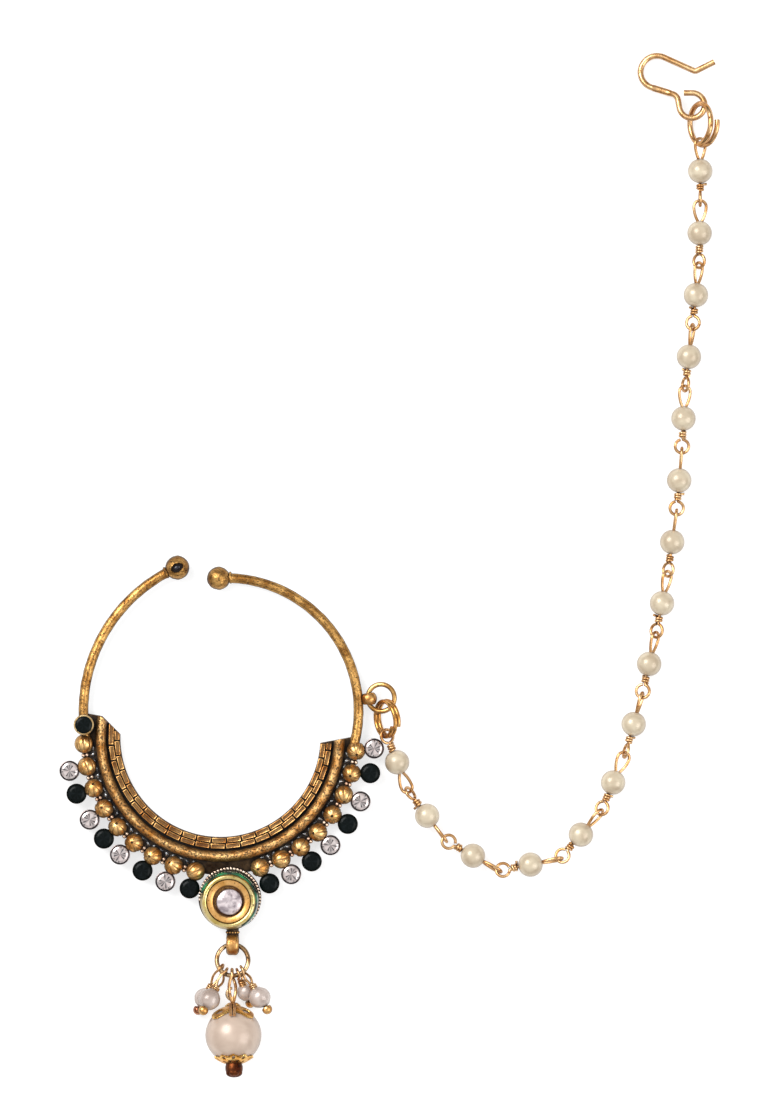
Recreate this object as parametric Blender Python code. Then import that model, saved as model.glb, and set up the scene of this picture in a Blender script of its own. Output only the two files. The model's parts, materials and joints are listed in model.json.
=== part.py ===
"""Nath nose ring with its hair chain, laid out on a flat surface.

X runs to the right of the lay-out, Y towards the hair hook and Z up from the surface. The pieces are
placed about the centre of the half-ring band, and one empty then carries them all so that the
origin sits under the middle of the whole lay-out.
"""

import math

import bmesh
import bpy
from mathutils import Matrix, Vector

for old in list(bpy.data.objects):
    bpy.data.objects.remove(old, do_unlink=True)

MM = 0.001

# Fits.
LINK_GAP = 0.35 * MM        # between the wires of two loops that hang in each other
SEAT_GAP = 0.25 * MM        # between a stone or a cap and what it sits on
SOLDER_LAP = 0.3 * MM       # how far soldered or cast-on shapes run into each other

# Half-ring band.
BAND_INNER_RADIUS = 16.3 * MM
BRICK_ROW_WIDTH = 0.95 * MM
BRICK_LENGTH = 2.45 * MM
BRICK_JOINT = 0.22 * MM
BRICK_RELIEF = 0.3 * MM
BRICK_ROWS = 2
GROOVE_WIDTH = 0.3 * MM
RIB_WIDTH = 1.8 * MM
RIB_HEIGHT = 1.7 * MM
PLATE_THICKNESS = 1.9 * MM
FLANGE_RISE = 0.3 * MM
CHANNEL_WIDTH = 2.1 * MM
BAND_STEPS = 30
# left end of the band and right end: angle at the inner edge, angle from the rib outwards
BAND_ENDS = {"left": (178.4, 172.6), "right": (356.6, 357.8)}

# Granules and set stones.
GRANULE_DIAMETER = 3.1 * MM
GRANULE_SPACING = 0.62 * MM
# turn of the first granule from the rib's end
GRANULE_FIRST = {"left": 10.2, "right": -3.6}
GRANULE_SET_IN = 0.2 * MM
GRANULE_LIFT = 0.1 * MM
CUP_DIAMETER = 3.3 * MM
CUP_HEIGHT = 2.3 * MM
CUP_LIFT = 0.2 * MM
STONE_DIAMETER = 2.8 * MM
STONE_CROWN = 0.55 * MM
STONE_PAVILION = 0.9 * MM
# side of the band, place along its row of granules, colour, turn from the granule in degrees
STONES = [
    ("left", 1, "clear", 0.2), ("left", 2, "black", -0.5), ("left", 3, "clear", 0.7),
    ("left", 4, "black", -0.1), ("left", 5, "clear", -1.3), ("left", 6, "black", -0.6),
    ("left", 7, "clear", -0.8), ("left", 8, "black", -1.0), ("right", 7, "black", 1.6),
    ("right", 6, "clear", 0.8), ("right", 5, "black", 0.2), ("right", 4, "clear", -0.2),
    ("right", 3, "black", 0.4), ("right", 2, "clear", 0.4), ("right", 1, "black", 1.9),
    ("right", 0, "clear", 1.6),
]
# turn of the stone over the left arm from the rib's end
END_STONE_TURN = 2.1

# Hoop.
HOOP_WIRE = 1.6 * MM
HOOP_BALL = {"left": 3.9 * MM, "right": 3.75 * MM}
# arm, distance and angle of its ball from the band's centre, radius of its bend, turn of its foot
# from the rib's end
ARMS = {
    "left": {"reach": 28.45 * MM, "ball": 104.2, "bend": 25.5 * MM, "foot": 5.9},
    "right": {"reach": 25.85 * MM, "ball": 90.6, "bend": 21.6 * MM, "foot": 1.2},
}
ARM_STEPS = 16
EAR_DIAMETER = 2.6 * MM
EAR_RISE = 6.47 * MM        # of the ear above the right arm's foot

# Kundan setting and the lug under it.
KUNDAN_ANGLE = 273.4
KUNDAN_BASE_DIAMETER = 10.2 * MM
KUNDAN_BASE_HEIGHT = 2.3 * MM
KUNDAN_RIM_DIAMETER = 8.1 * MM
KUNDAN_FOOT_DIAMETER = 9.2 * MM
KUNDAN_HEIGHT = 2.7 * MM
KUNDAN_RIM_WIDTH = 0.45 * MM
KUNDAN_STONE_DIAMETER = 4.4 * MM
KUNDAN_STONE_HEIGHT = 1.0 * MM
KUNDAN_SET_DOWN = 0.45 * MM
KUNDAN_SHIFT = (-0.15 * MM, -0.35 * MM)
LUG_WIDTH = 2.05 * MM
LUG_WALL = 0.75 * MM
LUG_NECK = 1.5 * MM

# Drop.
DROP_RING_DIAMETER = 5.86 * MM
DROP_RING_WIRE = 0.75 * MM
DROP_RING_SLOPE = 12.0
MAIN_PEARL_DIAMETER = 9.1 * MM
MAIN_PIN_WIRE = 0.6 * MM
MAIN_LOOP_STRETCH = 2.6 * MM
MAIN_NECK = 0.7 * MM
CAP_DIAMETER = {"top": 4.9 * MM, "bottom": 6.0 * MM}
CAP_WALL = 0.35 * MM
PIN_HEAD_DIAMETER = 2.8 * MM
PIN_HEAD_HEIGHT = 1.5 * MM
SMALL_PIN_WIRE = 0.42 * MM
SMALL_BALL_DIAMETER = 1.4 * MM
# little drop, pearl diameter, place on the drop ring, heading, height of its pearl, neck length
SMALL_DROPS = [
    ("small_pearl_front_left", 3.5 * MM, 240.0, 239.5, 5.6 * MM, 2.8 * MM),
    ("small_pearl_back_left", 3.3 * MM, 218.0, 241.5, 1.7 * MM, 2.8 * MM),
    ("small_pearl_right", 3.5 * MM, 315.0, 302.5, 4.1 * MM, 2.5 * MM),
    ("small_pearl_back_middle", 2.9 * MM, 294.0, 291.0, 1.5 * MM, 1.0 * MM),
]
MAIN_LOOP_ANGLE = 269.0
MAIN_HEADING = 271.4

# Rings at the hoop's side.
SIDE_RING_DIAMETER = 5.2 * MM
SIDE_RING_WIRE = 0.8 * MM
SIDE_RING_TILT = 10.0
COIL_RING_DIAMETER = 6.3 * MM
COIL_RING_WIRE = 0.56 * MM
COIL_RING_PITCH = 0.62 * MM
COIL_RING_TILT = 60.0
COIL_RING_CONTACT = -5.0
CHAIN_SIDE_GAP = 0.6 * MM   # between the last cup and the chain's first joint
COIL_RING_SLACK = (0.12 * MM, 0.6 * MM)

# Pearl chain.
BEAD_DIAMETER = 4.0 * MM
CHAIN_WIRE = 0.5 * MM
LONG_LOOP_LENGTH = 3.55 * MM
LONG_LOOP_WIDTH = 2.5 * MM
ROUND_LOOP_DIAMETER = 2.7 * MM
WRAP_DIAMETER = 1.3 * MM
WRAP_LENGTH = 1.2 * MM
# the chain's lay from the nose ring to the hair hook: heading of each link, roll of its long loop
CHAIN_LAY = [
    (291, 25), (307, 85), (330, 75), (371, 75), (409, 60), (427, 15), (434, 75), (437, 55),
    (439, 45), (442, 90), (445, 90), (447, 25), (443, 70), (444, 50), (449, 0), (450, 0),
]

# Hook ring and hair hook.
HOOK_RING_DIAMETER = 7.6 * MM
HOOK_RING_WIRE = 0.9 * MM
HOOK_RING_TILT = 57.0
HOOK_RING_PITCH = 1.3 * MM
HOOK_RING_TURN = 450.0
HOOK_RING_FREE_END = 100.0
HOOK_RING_CONTACT = -15.0
HOOK_WIRE = 0.9 * MM
HOOK_SLOPE = 9.0
HOOK_FALL_HEADING = 145.0
HOOK_EYE_HEADING = 120.0
HOOK_EYE_REACH = 1.08
# run before the bend, radius of the bend, turn to the left in degrees, from the eye's open end
HOOK_BENDS = [
    (1.3 * MM, 2.07 * MM, -260.0), (1.3 * MM, 1.3 * MM, 62.0), (3.6 * MM, 2.67 * MM, -187.0),
    (5.4 * MM, 0.6 * MM, 51.0), (3.2 * MM, 0.0, 0.0),
]

# Colours: base colour, metallic, roughness.
FINISHES = {
    "antique_gold_cast_brass": ((0.53, 0.30, 0.09), 1.0, 0.38),
    "gold_plated_wire": ((0.75, 0.42, 0.13), 1.0, 0.28),
    "gold_plated_cap": ((0.72, 0.44, 0.10), 1.0, 0.30),
    "jet_black_glass": ((0.004, 0.010, 0.010), 0.0, 0.10),
    "clear_foiled_glass": ((0.70, 0.70, 0.75), 0.3, 0.06),
    "kundan_foiled_glass": ((0.72, 0.68, 0.76), 0.1, 0.08),
    "gold_with_green_enamel": ((0.70, 0.45, 0.14), 1.0, 0.30),
    "ivory_imitation_pearl": ((0.78, 0.68, 0.56), 0.0, 0.28),
    "cream_imitation_pearl": ((0.86, 0.76, 0.68), 0.0, 0.22),
}


def finish(name):
    """The Principled material of that name, made once."""
    found = bpy.data.materials.get(name)
    if found:
        return found
    colour, metallic, roughness = FINISHES[name]
    made = bpy.data.materials.new(name)
    made.use_nodes = True
    shader = made.node_tree.nodes["Principled BSDF"]
    shader.inputs["Base Color"].default_value = (*colour, 1.0)
    shader.inputs["Metallic"].default_value = metallic
    shader.inputs["Roughness"].default_value = roughness
    return made


def polar(radius, degrees, z=0.0):
    """A point by its distance and direction from the band's centre."""
    turn = math.radians(degrees)
    return Vector((radius * math.cos(turn), radius * math.sin(turn), z))


def direction(heading, pitch=0.0):
    """A unit vector by its heading in the surface and its pitch above it, in degrees."""
    level = math.cos(math.radians(pitch))
    return Vector((level * math.cos(math.radians(heading)), level * math.sin(math.radians(heading)),
                   math.sin(math.radians(pitch))))


def axes(x_axis, z_axis, place=(0, 0, 0)):
    """The matrix that carries local X and Z to these directions and the local origin to a place."""
    x = Vector(x_axis).normalized()
    y = Vector(z_axis).cross(x).normalized()
    z = x.cross(y)
    turn = Matrix((x, y, z)).transposed().to_4x4()
    return Matrix.Translation(place) @ turn


# Shapes: each returns a bmesh.

def ball(diameter, place=(0, 0, 0), sides=10, rings=6, squash=(1, 1, 1)):
    shape = bmesh.new()
    scale = Matrix.Diagonal((*squash, 1.0))
    bmesh.ops.create_uvsphere(shape, u_segments=sides, v_segments=rings, radius=diameter / 2,
                              matrix=Matrix.Translation(place) @ scale)
    return shape


def drum(diameter, low, high, sides=12, matrix=Matrix.Identity(4)):
    """A round bar along local Z between two heights."""
    shape = bmesh.new()
    place = matrix @ Matrix.Translation((0, 0, (low + high) / 2))
    bmesh.ops.create_cone(shape, cap_ends=True, segments=sides, radius1=diameter / 2,
                          radius2=diameter / 2, depth=high - low, matrix=place)
    return shape


def block(low, high, matrix=Matrix.Identity(4)):
    """A box between two corners."""
    shape = bmesh.new()
    size = [b - a for a, b in zip(low, high)]
    middle = [(a + b) / 2 for a, b in zip(low, high)]
    place = matrix @ Matrix.Translation(middle) @ Matrix.Diagonal((*size, 1.0))
    bmesh.ops.create_cube(shape, size=1.0, matrix=place)
    return shape


def turned(profile, sides=16):
    """A lathe-turned solid: (radius, height) points carried round local Z."""
    shape = bmesh.new()
    points = [shape.verts.new((radius, 0, height)) for radius, height in profile]
    lines = [shape.edges.new(pair) for pair in zip(points, points[1:])]
    if min(radius for radius, _ in profile) > 0:
        lines.append(shape.edges.new((points[-1], points[0])))
    bmesh.ops.spin(shape, geom=points + lines, cent=(0, 0, 0), axis=(0, 0, 1),
                   angle=math.tau, steps=sides, use_merge=True)
    bmesh.ops.remove_doubles(shape, verts=shape.verts[:], dist=0.001 * MM)
    bmesh.ops.recalc_face_normals(shape, faces=shape.faces[:])
    return shape


def lofted(sections, closed=False):
    """A skin over equal rings of points, shut in itself or by a flat face at each end."""
    shape = bmesh.new()
    rings = [[shape.verts.new(point) for point in section] for section in sections]
    pairs = list(zip(rings, rings[1:]))
    if closed:
        pairs.append((rings[-1], rings[0]))
    else:
        shape.faces.new(rings[0])
        shape.faces.new(rings[-1])
    for near, far in pairs:
        for k in range(len(near)):
            following = (k + 1) % len(near)
            shape.faces.new((near[k], near[following], far[following], far[k]))
    bmesh.ops.recalc_face_normals(shape, faces=shape.faces[:])
    return shape


def wire(route, diameter, sides=6, closed=False, shape_up=None):
    """A round wire along a route: its section is carried on without twisting."""
    route = [Vector(point) for point in route]
    count = len(route)
    sections = []
    side = None
    for k, point in enumerate(route):
        before = route[k - 1] if k or closed else point
        after = route[(k + 1) % count] if k + 1 < count or closed else point
        along = (after - before).normalized()
        if side is None:
            side = (shape_up or Vector((0, 0, 1))).cross(along)
            if side.length < 0.1:
                side = Vector((1, 0, 0)).cross(along)
        side = (side - along * side.dot(along)).normalized()
        up = along.cross(side)
        half_bend = 1.0
        if 0 < k < count - 1 or closed:
            incoming = (point - before).normalized()
            half_bend = max(0.5, incoming.dot(along))
        ring = []
        for n in range(sides):
            turn = math.tau * (n + 0.5) / sides
            offset = side * math.cos(turn) + up * math.sin(turn)
            ring.append(point + offset * diameter / 2 / math.sqrt(half_bend))
        sections.append(ring)
    return lofted(sections, closed)


def circle(radius, count, first=0.0, sweep=360.0, rise=0.0):
    """Points of a circle or coil about local Z, starting at local -Y and turning left."""
    whole = abs(sweep - 360.0) < 0.01 and rise == 0.0
    points = []
    for k in range(count):
        share = k / count if whole else k / (count - 1)
        turn = math.radians(first + sweep * share - 90.0)
        points.append(Vector((radius * math.cos(turn), radius * math.sin(turn), rise * share)))
    return points


# Objects.

ROOT = bpy.data.objects.new("nath_lay_out", None)
bpy.context.scene.collection.objects.link(ROOT)


def mesh_object(name, shape):
    mesh = bpy.data.meshes.new(name)
    shape.to_mesh(mesh)
    shape.free()
    made = bpy.data.objects.new(name, mesh)
    bpy.context.scene.collection.objects.link(made)
    return made


def dress(made, finish_name, place=Matrix.Identity(4), crease=40.0):
    """Material, soft shading, place and parent of a finished piece."""
    made.data.materials.clear()
    made.data.materials.append(finish(finish_name))
    made.data.shade_smooth()
    made.data.set_sharp_from_angle(angle=math.radians(crease))
    made.parent = ROOT
    made.matrix_local = place
    return made


def piece(name, shape, finish_name, place=Matrix.Identity(4), crease=40.0):
    return dress(mesh_object(name, shape), finish_name, place, crease)


def combined(target, tools, operation):
    """The target's mesh after a Boolean with a group of tool solids, which are used up."""
    group = bpy.data.collections.new("tools")
    bpy.context.scene.collection.children.link(group)
    for tool in tools:
        group.objects.link(tool)
    boolean = target.modifiers.new("Join", "BOOLEAN")
    boolean.operation = operation
    boolean.solver = "EXACT"
    boolean.operand_type = "COLLECTION"
    boolean.collection = group
    result = bpy.data.meshes.new_from_object(target.evaluated_get(bpy.context.evaluated_depsgraph_get()))
    target.modifiers.clear()
    target.data = result
    for tool in tools:
        bpy.data.objects.remove(tool, do_unlink=True)
    bpy.data.collections.remove(group)
    return target


def soldered(name, shapes):
    """One metal body out of overlapping shapes."""
    solids = [mesh_object(f"{name}_{k}", shape) for k, shape in enumerate(shapes)]
    whole = combined(solids[0], solids[1:], "UNION")
    whole.name = name
    tidy = bmesh.new()
    tidy.from_mesh(whole.data)
    bmesh.ops.remove_doubles(tidy, verts=tidy.verts[:], dist=0.002 * MM)
    bmesh.ops.dissolve_degenerate(tidy, edges=tidy.edges[:], dist=0.002 * MM)
    tidy.to_mesh(whole.data)
    tidy.free()
    return whole


# Cast frame: band, bricks, granules, cups, setting base, lug, arms, balls and ear.

brick_span = BRICK_ROWS * BRICK_ROW_WIDTH
rib_inner = BAND_INNER_RADIUS + brick_span + GROOVE_WIDTH
rib_outer = rib_inner + RIB_WIDTH
plate_outer = rib_outer + CHANNEL_WIDTH
flange_top = PLATE_THICKNESS + FLANGE_RISE


def band_angle(radius, share):
    """Direction of the band's cross-section: its ends are cut on a slant up to the rib."""
    slant = min(1.0, (radius - BAND_INNER_RADIUS) / (rib_outer - BAND_INNER_RADIUS))
    left = BAND_ENDS["left"][0] + slant * (BAND_ENDS["left"][1] - BAND_ENDS["left"][0])
    right = BAND_ENDS["right"][0] + slant * (BAND_ENDS["right"][1] - BAND_ENDS["right"][0])
    return left + share * (right - left)


def band_shape():
    """Flat-backed band: brick flange, groove, half-round rib and sunk channel."""
    profile = [(BAND_INNER_RADIUS, 0.0), (BAND_INNER_RADIUS, flange_top),
               (rib_inner - GROOVE_WIDTH, flange_top), (rib_inner - GROOVE_WIDTH, PLATE_THICKNESS)]
    for k in range(7):
        turn = math.radians(180.0 - 30.0 * k)
        radius = rib_inner + RIB_WIDTH / 2 * (1 + math.cos(turn))
        profile.append((radius, PLATE_THICKNESS + RIB_HEIGHT * math.sin(turn)))
    profile += [(plate_outer, PLATE_THICKNESS), (plate_outer, 0.0)]
    sections = []
    for k in range(BAND_STEPS + 1):
        share = k / BAND_STEPS
        sections.append([polar(r, band_angle(r, share), z) for r, z in profile])
    return lofted(sections)


def brick_shapes():
    """Two rows of raised bricks, the outer row set half a brick along."""
    bricks = []
    for row in range(BRICK_ROWS):
        near = BAND_INNER_RADIUS + row * BRICK_ROW_WIDTH + BRICK_JOINT / 2
        far = near + BRICK_ROW_WIDTH - BRICK_JOINT
        length = math.radians(band_angle(near, 1.0) - band_angle(near, 0.0)) * near
        count = round(length / BRICK_LENGTH)
        joint = BRICK_JOINT / length
        for k in range(count):
            start = (k + 0.5 * row) / (count + 0.5) + joint / 2
            stop = (k + 1 + 0.5 * row) / (count + 0.5) - joint / 2
            corners = [(near, start), (far, start), (far, stop), (near, stop)]
            foot = [polar(r, band_angle(r, s), flange_top - SOLDER_LAP) for r, s in corners]
            head = [polar(r, band_angle(r, s), flange_top + BRICK_RELIEF) for r, s in corners]
            bricks.append(lofted([foot, head]))
    return bricks


granule_ring = plate_outer - GRANULE_SET_IN
granule_step = math.degrees((GRANULE_DIAMETER + GRANULE_SPACING) / granule_ring)
granule_z = PLATE_THICKNESS + GRANULE_LIFT
cup_ring = granule_ring + (GRANULE_DIAMETER + CUP_DIAMETER) / 2 - SOLDER_LAP
kundan_ring = plate_outer + KUNDAN_BASE_DIAMETER / 2 - 4 * SOLDER_LAP


def granule_angle(side, number):
    step = granule_step if side == "left" else -granule_step
    return BAND_ENDS[side][1] + GRANULE_FIRST[side] + number * step


def granule_shapes():
    """Solid balls along the channel, with a wider space where the kundan setting stands."""
    shapes = []
    clear_angle = math.degrees((KUNDAN_BASE_DIAMETER + GRANULE_DIAMETER) / 2 / granule_ring)
    for side, limit in (("left", KUNDAN_ANGLE - clear_angle), ("right", KUNDAN_ANGLE + clear_angle)):
        number = 0
        angle = granule_angle(side, number)
        while (limit - angle) * (1 if side == "left" else -1) > -granule_step * 0.5:
            place = polar(granule_ring, angle, granule_z)
            shapes.append(ball(GRANULE_DIAMETER, place, sides=10, rings=5))
            number += 1
            angle = granule_angle(side, number)
    return shapes


def stone_places():
    """Name, colour and place of each small stone's cup; the first sits over the left arm's foot."""
    end_angle = BAND_ENDS["left"][1] + END_STONE_TURN
    places = [("black", polar(granule_ring, end_angle, granule_z + GRANULE_DIAMETER * 0.1))]
    for side, number, colour, turn in STONES:
        places.append((colour, polar(cup_ring, granule_angle(side, number) + turn, CUP_LIFT)))
    return places


cup_seat = STONE_PAVILION + SEAT_GAP


def cup_shape(place):
    """A round cup with a cone-shaped seat for the stone's back."""
    radius = CUP_DIAMETER / 2
    seat_radius = STONE_DIAMETER / 2 + SEAT_GAP / 5
    profile = [(0, 0), (radius * 0.9, 0), (radius, CUP_HEIGHT), (seat_radius, CUP_HEIGHT),
               (0, CUP_HEIGHT - cup_seat)]
    shape = turned(profile, sides=10)
    bmesh.ops.translate(shape, verts=shape.verts[:], vec=place)
    return shape


def arm_shapes(side):
    """A bent wire from its foot in the band to its ball end, with a slight neck under the ball."""
    arm = ARMS[side]
    height = max(HOOP_BALL.values()) / 2
    foot = polar(plate_outer - HOOP_WIRE / 4, BAND_ENDS[side][1] + arm["foot"])
    tip = polar(arm["reach"], arm["ball"])
    chord = tip - foot
    inward = Vector((-chord.y, chord.x, 0)).normalized() * (-1 if side == "left" else 1)
    middle = (foot + tip) / 2
    depth = math.sqrt(arm["bend"] ** 2 - (chord.length / 2) ** 2)
    centre = middle + inward * depth
    first = math.atan2(foot.y - centre.y, foot.x - centre.x) % math.tau
    last = math.atan2(tip.y - centre.y, tip.x - centre.x) % math.tau
    if side == "right":
        first = first - math.tau if first > math.pi else first
    under = (HOOP_WIRE / arm["bend"]) * (1 if side == "left" else -1)
    route = []
    for k in range(ARM_STEPS + 1):
        turn = (first + under) + (last - first - under) * k / ARM_STEPS
        route.append(centre + Vector((math.cos(turn), math.sin(turn), 0)) * arm["bend"]
                     + Vector((0, 0, height)))
    route[-1] = tip + Vector((0, 0, height))
    end = ball(HOOP_BALL[side], tip + Vector((0, 0, height)), sides=12, rings=6)
    return [wire(route, HOOP_WIRE, sides=8), end], centre, foot


drop_ring_radius = (DROP_RING_DIAMETER - DROP_RING_WIRE) / 2
lug_sag = drop_ring_radius - math.sqrt(drop_ring_radius ** 2 - (LUG_WIDTH / 2) ** 2)
lug_hole = DROP_RING_WIRE + 2 * (LINK_GAP + lug_sag)
lug_reach = kundan_ring + KUNDAN_BASE_DIAMETER / 2
lug_centre = polar(lug_reach + LUG_NECK + lug_hole / 2, KUNDAN_ANGLE)
lug_z = lug_hole / 2 + LUG_WALL


def lug_shapes():
    """The lug that the drop ring hangs in: a short neck and an eye pierced from side to side."""
    across = Matrix.Translation((lug_centre.x, lug_centre.y, lug_z)) @ Matrix.Rotation(math.pi / 2, 4, "Y")
    eye = drum(lug_hole + 2 * LUG_WALL, -LUG_WIDTH / 2, LUG_WIDTH / 2, sides=14, matrix=across)
    top = lug_centre.y + KUNDAN_BASE_DIAMETER / 4
    neck = block((lug_centre.x - LUG_WIDTH * 0.4, lug_centre.y + lug_hole / 2 + LUG_WALL * 0.2, SOLDER_LAP),
                 (lug_centre.x + LUG_WIDTH * 0.4, top, KUNDAN_BASE_HEIGHT * 0.9))
    hole = drum(lug_hole, -LUG_WIDTH, LUG_WIDTH, sides=12, matrix=across)
    return [eye, neck], hole


def ear_shapes(bend_centre, foot):
    """A pierced ball on the right arm's outer side, which holds the side ring."""
    height = max(HOOP_BALL.values()) / 2
    ear_turn = math.asin((foot.y + EAR_RISE - bend_centre.y) / ARMS["right"]["bend"])
    outward = direction(math.degrees(ear_turn))
    start = bend_centre + outward * (ARMS["right"]["bend"] + HOOP_WIRE / 2)
    centre = start + outward * (EAR_DIAMETER / 2 - SOLDER_LAP) + Vector((0, 0, height))
    ring_bend = (SIDE_RING_DIAMETER - SIDE_RING_WIRE) / 2
    sag = ring_bend - math.sqrt(ring_bend ** 2 - (0.42 * EAR_DIAMETER) ** 2)
    hole_width = SIDE_RING_WIRE + 2 * LINK_GAP + sag
    hole_centre = start + outward * (hole_width / 2 + SOLDER_LAP / 6) + Vector((0, 0, height))
    along = axes(outward, (0, 0, 1), hole_centre) @ Matrix.Rotation(math.pi / 2, 4, "X")
    hole = drum(hole_width, -EAR_DIAMETER, EAR_DIAMETER, sides=12, matrix=along)
    ring_hold = hole_centre - outward * sag / 2
    return ball(EAR_DIAMETER, centre, sides=10, rings=8), hole, ring_hold, math.degrees(ear_turn)


left_arm, _, _ = arm_shapes("left")
right_arm, right_centre, right_foot = arm_shapes("right")
ear, ear_hole, side_ring_hold, ear_angle = ear_shapes(right_centre, right_foot)
lug, lug_cut = lug_shapes()
kundan_base = polar(kundan_ring, KUNDAN_ANGLE)
base_disc = drum(KUNDAN_BASE_DIAMETER, 0.0, KUNDAN_BASE_HEIGHT, sides=20,
                 matrix=Matrix.Translation(kundan_base))

frame_shapes = [band_shape(), base_disc, ear] + left_arm + right_arm + lug
frame_shapes += brick_shapes() + granule_shapes()
frame_shapes += [cup_shape(place) for _, place in stone_places()]
frame = soldered("nath_frame", frame_shapes)
frame = combined(frame, [mesh_object("ear_hole", ear_hole), mesh_object("lug_hole", lug_cut)],
                 "DIFFERENCE")
dress(frame, "antique_gold_cast_brass")


# Small stones: a flat table, a ring of crown facets and a pointed back.

def stone_mesh(name):
    radius = STONE_DIAMETER / 2
    profile = [(0, 0), (radius, STONE_PAVILION), (radius * 0.6, STONE_PAVILION + STONE_CROWN),
               (0, STONE_PAVILION + STONE_CROWN)]
    shape = turned(profile, sides=12)
    bmesh.ops.dissolve_limit(shape, angle_limit=math.radians(1.0), verts=shape.verts[:],
                             edges=shape.edges[:])
    mesh = bpy.data.meshes.new(name)
    shape.to_mesh(mesh)
    shape.free()
    return mesh


stone_meshes = {}
stone_counts = {"black": 0, "clear": 0}
stone_finish = {"black": "jet_black_glass", "clear": "clear_foiled_glass"}
for colour in stone_counts:
    stone_meshes[colour] = stone_mesh(f"{colour}_stone")
for colour, place in stone_places():
    stone_counts[colour] += 1
    stone = bpy.data.objects.new(f"{colour}_stone_{stone_counts[colour]:02d}", stone_meshes[colour])
    bpy.context.scene.collection.objects.link(stone)
    top = place + Vector((0, 0, CUP_HEIGHT - STONE_PAVILION + SEAT_GAP))
    dress(stone, stone_finish[colour], Matrix.Translation(top), crease=5.0)


# Kundan setting: a flared cup with a stepped mouth, and its flat foiled stone.

cup_foot = KUNDAN_BASE_HEIGHT + SEAT_GAP
cup_top = cup_foot + KUNDAN_HEIGHT
rim_radius = KUNDAN_RIM_DIAMETER / 2
stone_radius = KUNDAN_STONE_DIAMETER / 2
kundan_profile = [
    (0, cup_foot), (KUNDAN_FOOT_DIAMETER / 2, cup_foot), (rim_radius, cup_top),
    (rim_radius - KUNDAN_RIM_WIDTH, cup_top),
    (rim_radius - KUNDAN_RIM_WIDTH * 1.2, cup_top - KUNDAN_SET_DOWN),
    (stone_radius + SEAT_GAP, cup_top - KUNDAN_SET_DOWN * 1.4),
    (stone_radius + SEAT_GAP, cup_top - KUNDAN_SET_DOWN - KUNDAN_STONE_HEIGHT - SEAT_GAP),
    (0, cup_top - KUNDAN_SET_DOWN - KUNDAN_STONE_HEIGHT - SEAT_GAP),
]
kundan_place = Matrix.Translation(kundan_base + Vector((*KUNDAN_SHIFT, 0)))
piece("kundan_cup", turned(kundan_profile, sides=16), "gold_with_green_enamel", kundan_place)
stone_low = cup_top - KUNDAN_SET_DOWN - KUNDAN_STONE_HEIGHT
stone_profile = [(0, stone_low), (stone_radius, stone_low),
                 (stone_radius, stone_low + KUNDAN_STONE_HEIGHT * 0.6),
                 (stone_radius * 0.72, stone_low + KUNDAN_STONE_HEIGHT),
                 (0, stone_low + KUNDAN_STONE_HEIGHT)]
piece("kundan_stone", turned(stone_profile, sides=12), "kundan_foiled_glass", kundan_place, crease=10.0)


# Drop: its ring, the main pearl with two caps on a pin, and four little pearls.

ring_slope = math.radians(DROP_RING_SLOPE)
hang = Vector((lug_centre.x, lug_centre.y, lug_z))
drop_ring_centre = hang + Vector((0, -math.cos(ring_slope), math.sin(ring_slope))) * drop_ring_radius
drop_ring_place = Matrix.Translation(drop_ring_centre) @ Matrix.Rotation(-ring_slope, 4, "X")
piece("drop_ring", wire(circle(drop_ring_radius, 16), DROP_RING_WIRE, sides=6, closed=True),
      "antique_gold_cast_brass", drop_ring_place)


def on_drop_ring(angle):
    """Point of the drop ring's wire centre and the wire's direction there."""
    turn = math.radians(angle)
    local = Vector((math.cos(turn), math.sin(turn), 0))
    tangent = Vector((-math.sin(turn), math.cos(turn), 0))
    return drop_ring_place @ (local * drop_ring_radius), drop_ring_place.to_3x3() @ tangent


def hanging_place(point, tangent, heading, reach, height):
    """Axes of a pin that hangs at this point: local X runs down it to a pearl at this height."""
    pitch = math.degrees(math.asin((height - point.z) / reach))
    down = direction(heading, pitch)
    across = tangent - down * tangent.dot(down)
    return axes(down, down.cross(across), point)


for name, pearl_size, ring_angle, heading, height, neck in SMALL_DROPS:
    point, tangent = on_drop_ring(ring_angle)
    loop_radius = (DROP_RING_WIRE + SMALL_PIN_WIRE) / 2 + LINK_GAP
    pearl_at = loop_radius + neck + pearl_size / 2
    place = hanging_place(point, tangent, heading, pearl_at, height)
    flat = Matrix.Rotation(math.pi / 2, 4, "X")
    loop = [flat @ spot for spot in circle(loop_radius, 10)]
    ball_at = pearl_at + pearl_size / 2 + SMALL_BALL_DIAMETER * 0.35
    pin = [Vector((loop_radius, 0, 0)), Vector((ball_at, 0, 0))]
    pearl = ball(pearl_size, (pearl_at, 0, 0), sides=10, rings=6)
    drop = soldered(name, [
        pearl,
        wire(loop, SMALL_PIN_WIRE, sides=5, closed=True, shape_up=Vector((0, 1, 0))),
        wire(pin, SMALL_PIN_WIRE * 1.3, sides=5),
        ball(SMALL_BALL_DIAMETER, (ball_at, 0, 0), sides=7, rings=4),
    ])
    dress(drop, "cream_imitation_pearl", place)

main_point, main_tangent = on_drop_ring(MAIN_LOOP_ANGLE)
main_loop_radius = (DROP_RING_WIRE + MAIN_PIN_WIRE) / 2 + LINK_GAP
main_loop_end = main_loop_radius + MAIN_LOOP_STRETCH
main_at = main_loop_end + MAIN_NECK + CAP_WALL + 2 * SEAT_GAP + MAIN_PEARL_DIAMETER / 2
main_place = hanging_place(main_point, main_tangent, MAIN_HEADING, main_at, MAIN_PEARL_DIAMETER / 2)
pearl_radius = MAIN_PEARL_DIAMETER / 2
bore_radius = MAIN_PIN_WIRE / 2 + SEAT_GAP


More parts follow.
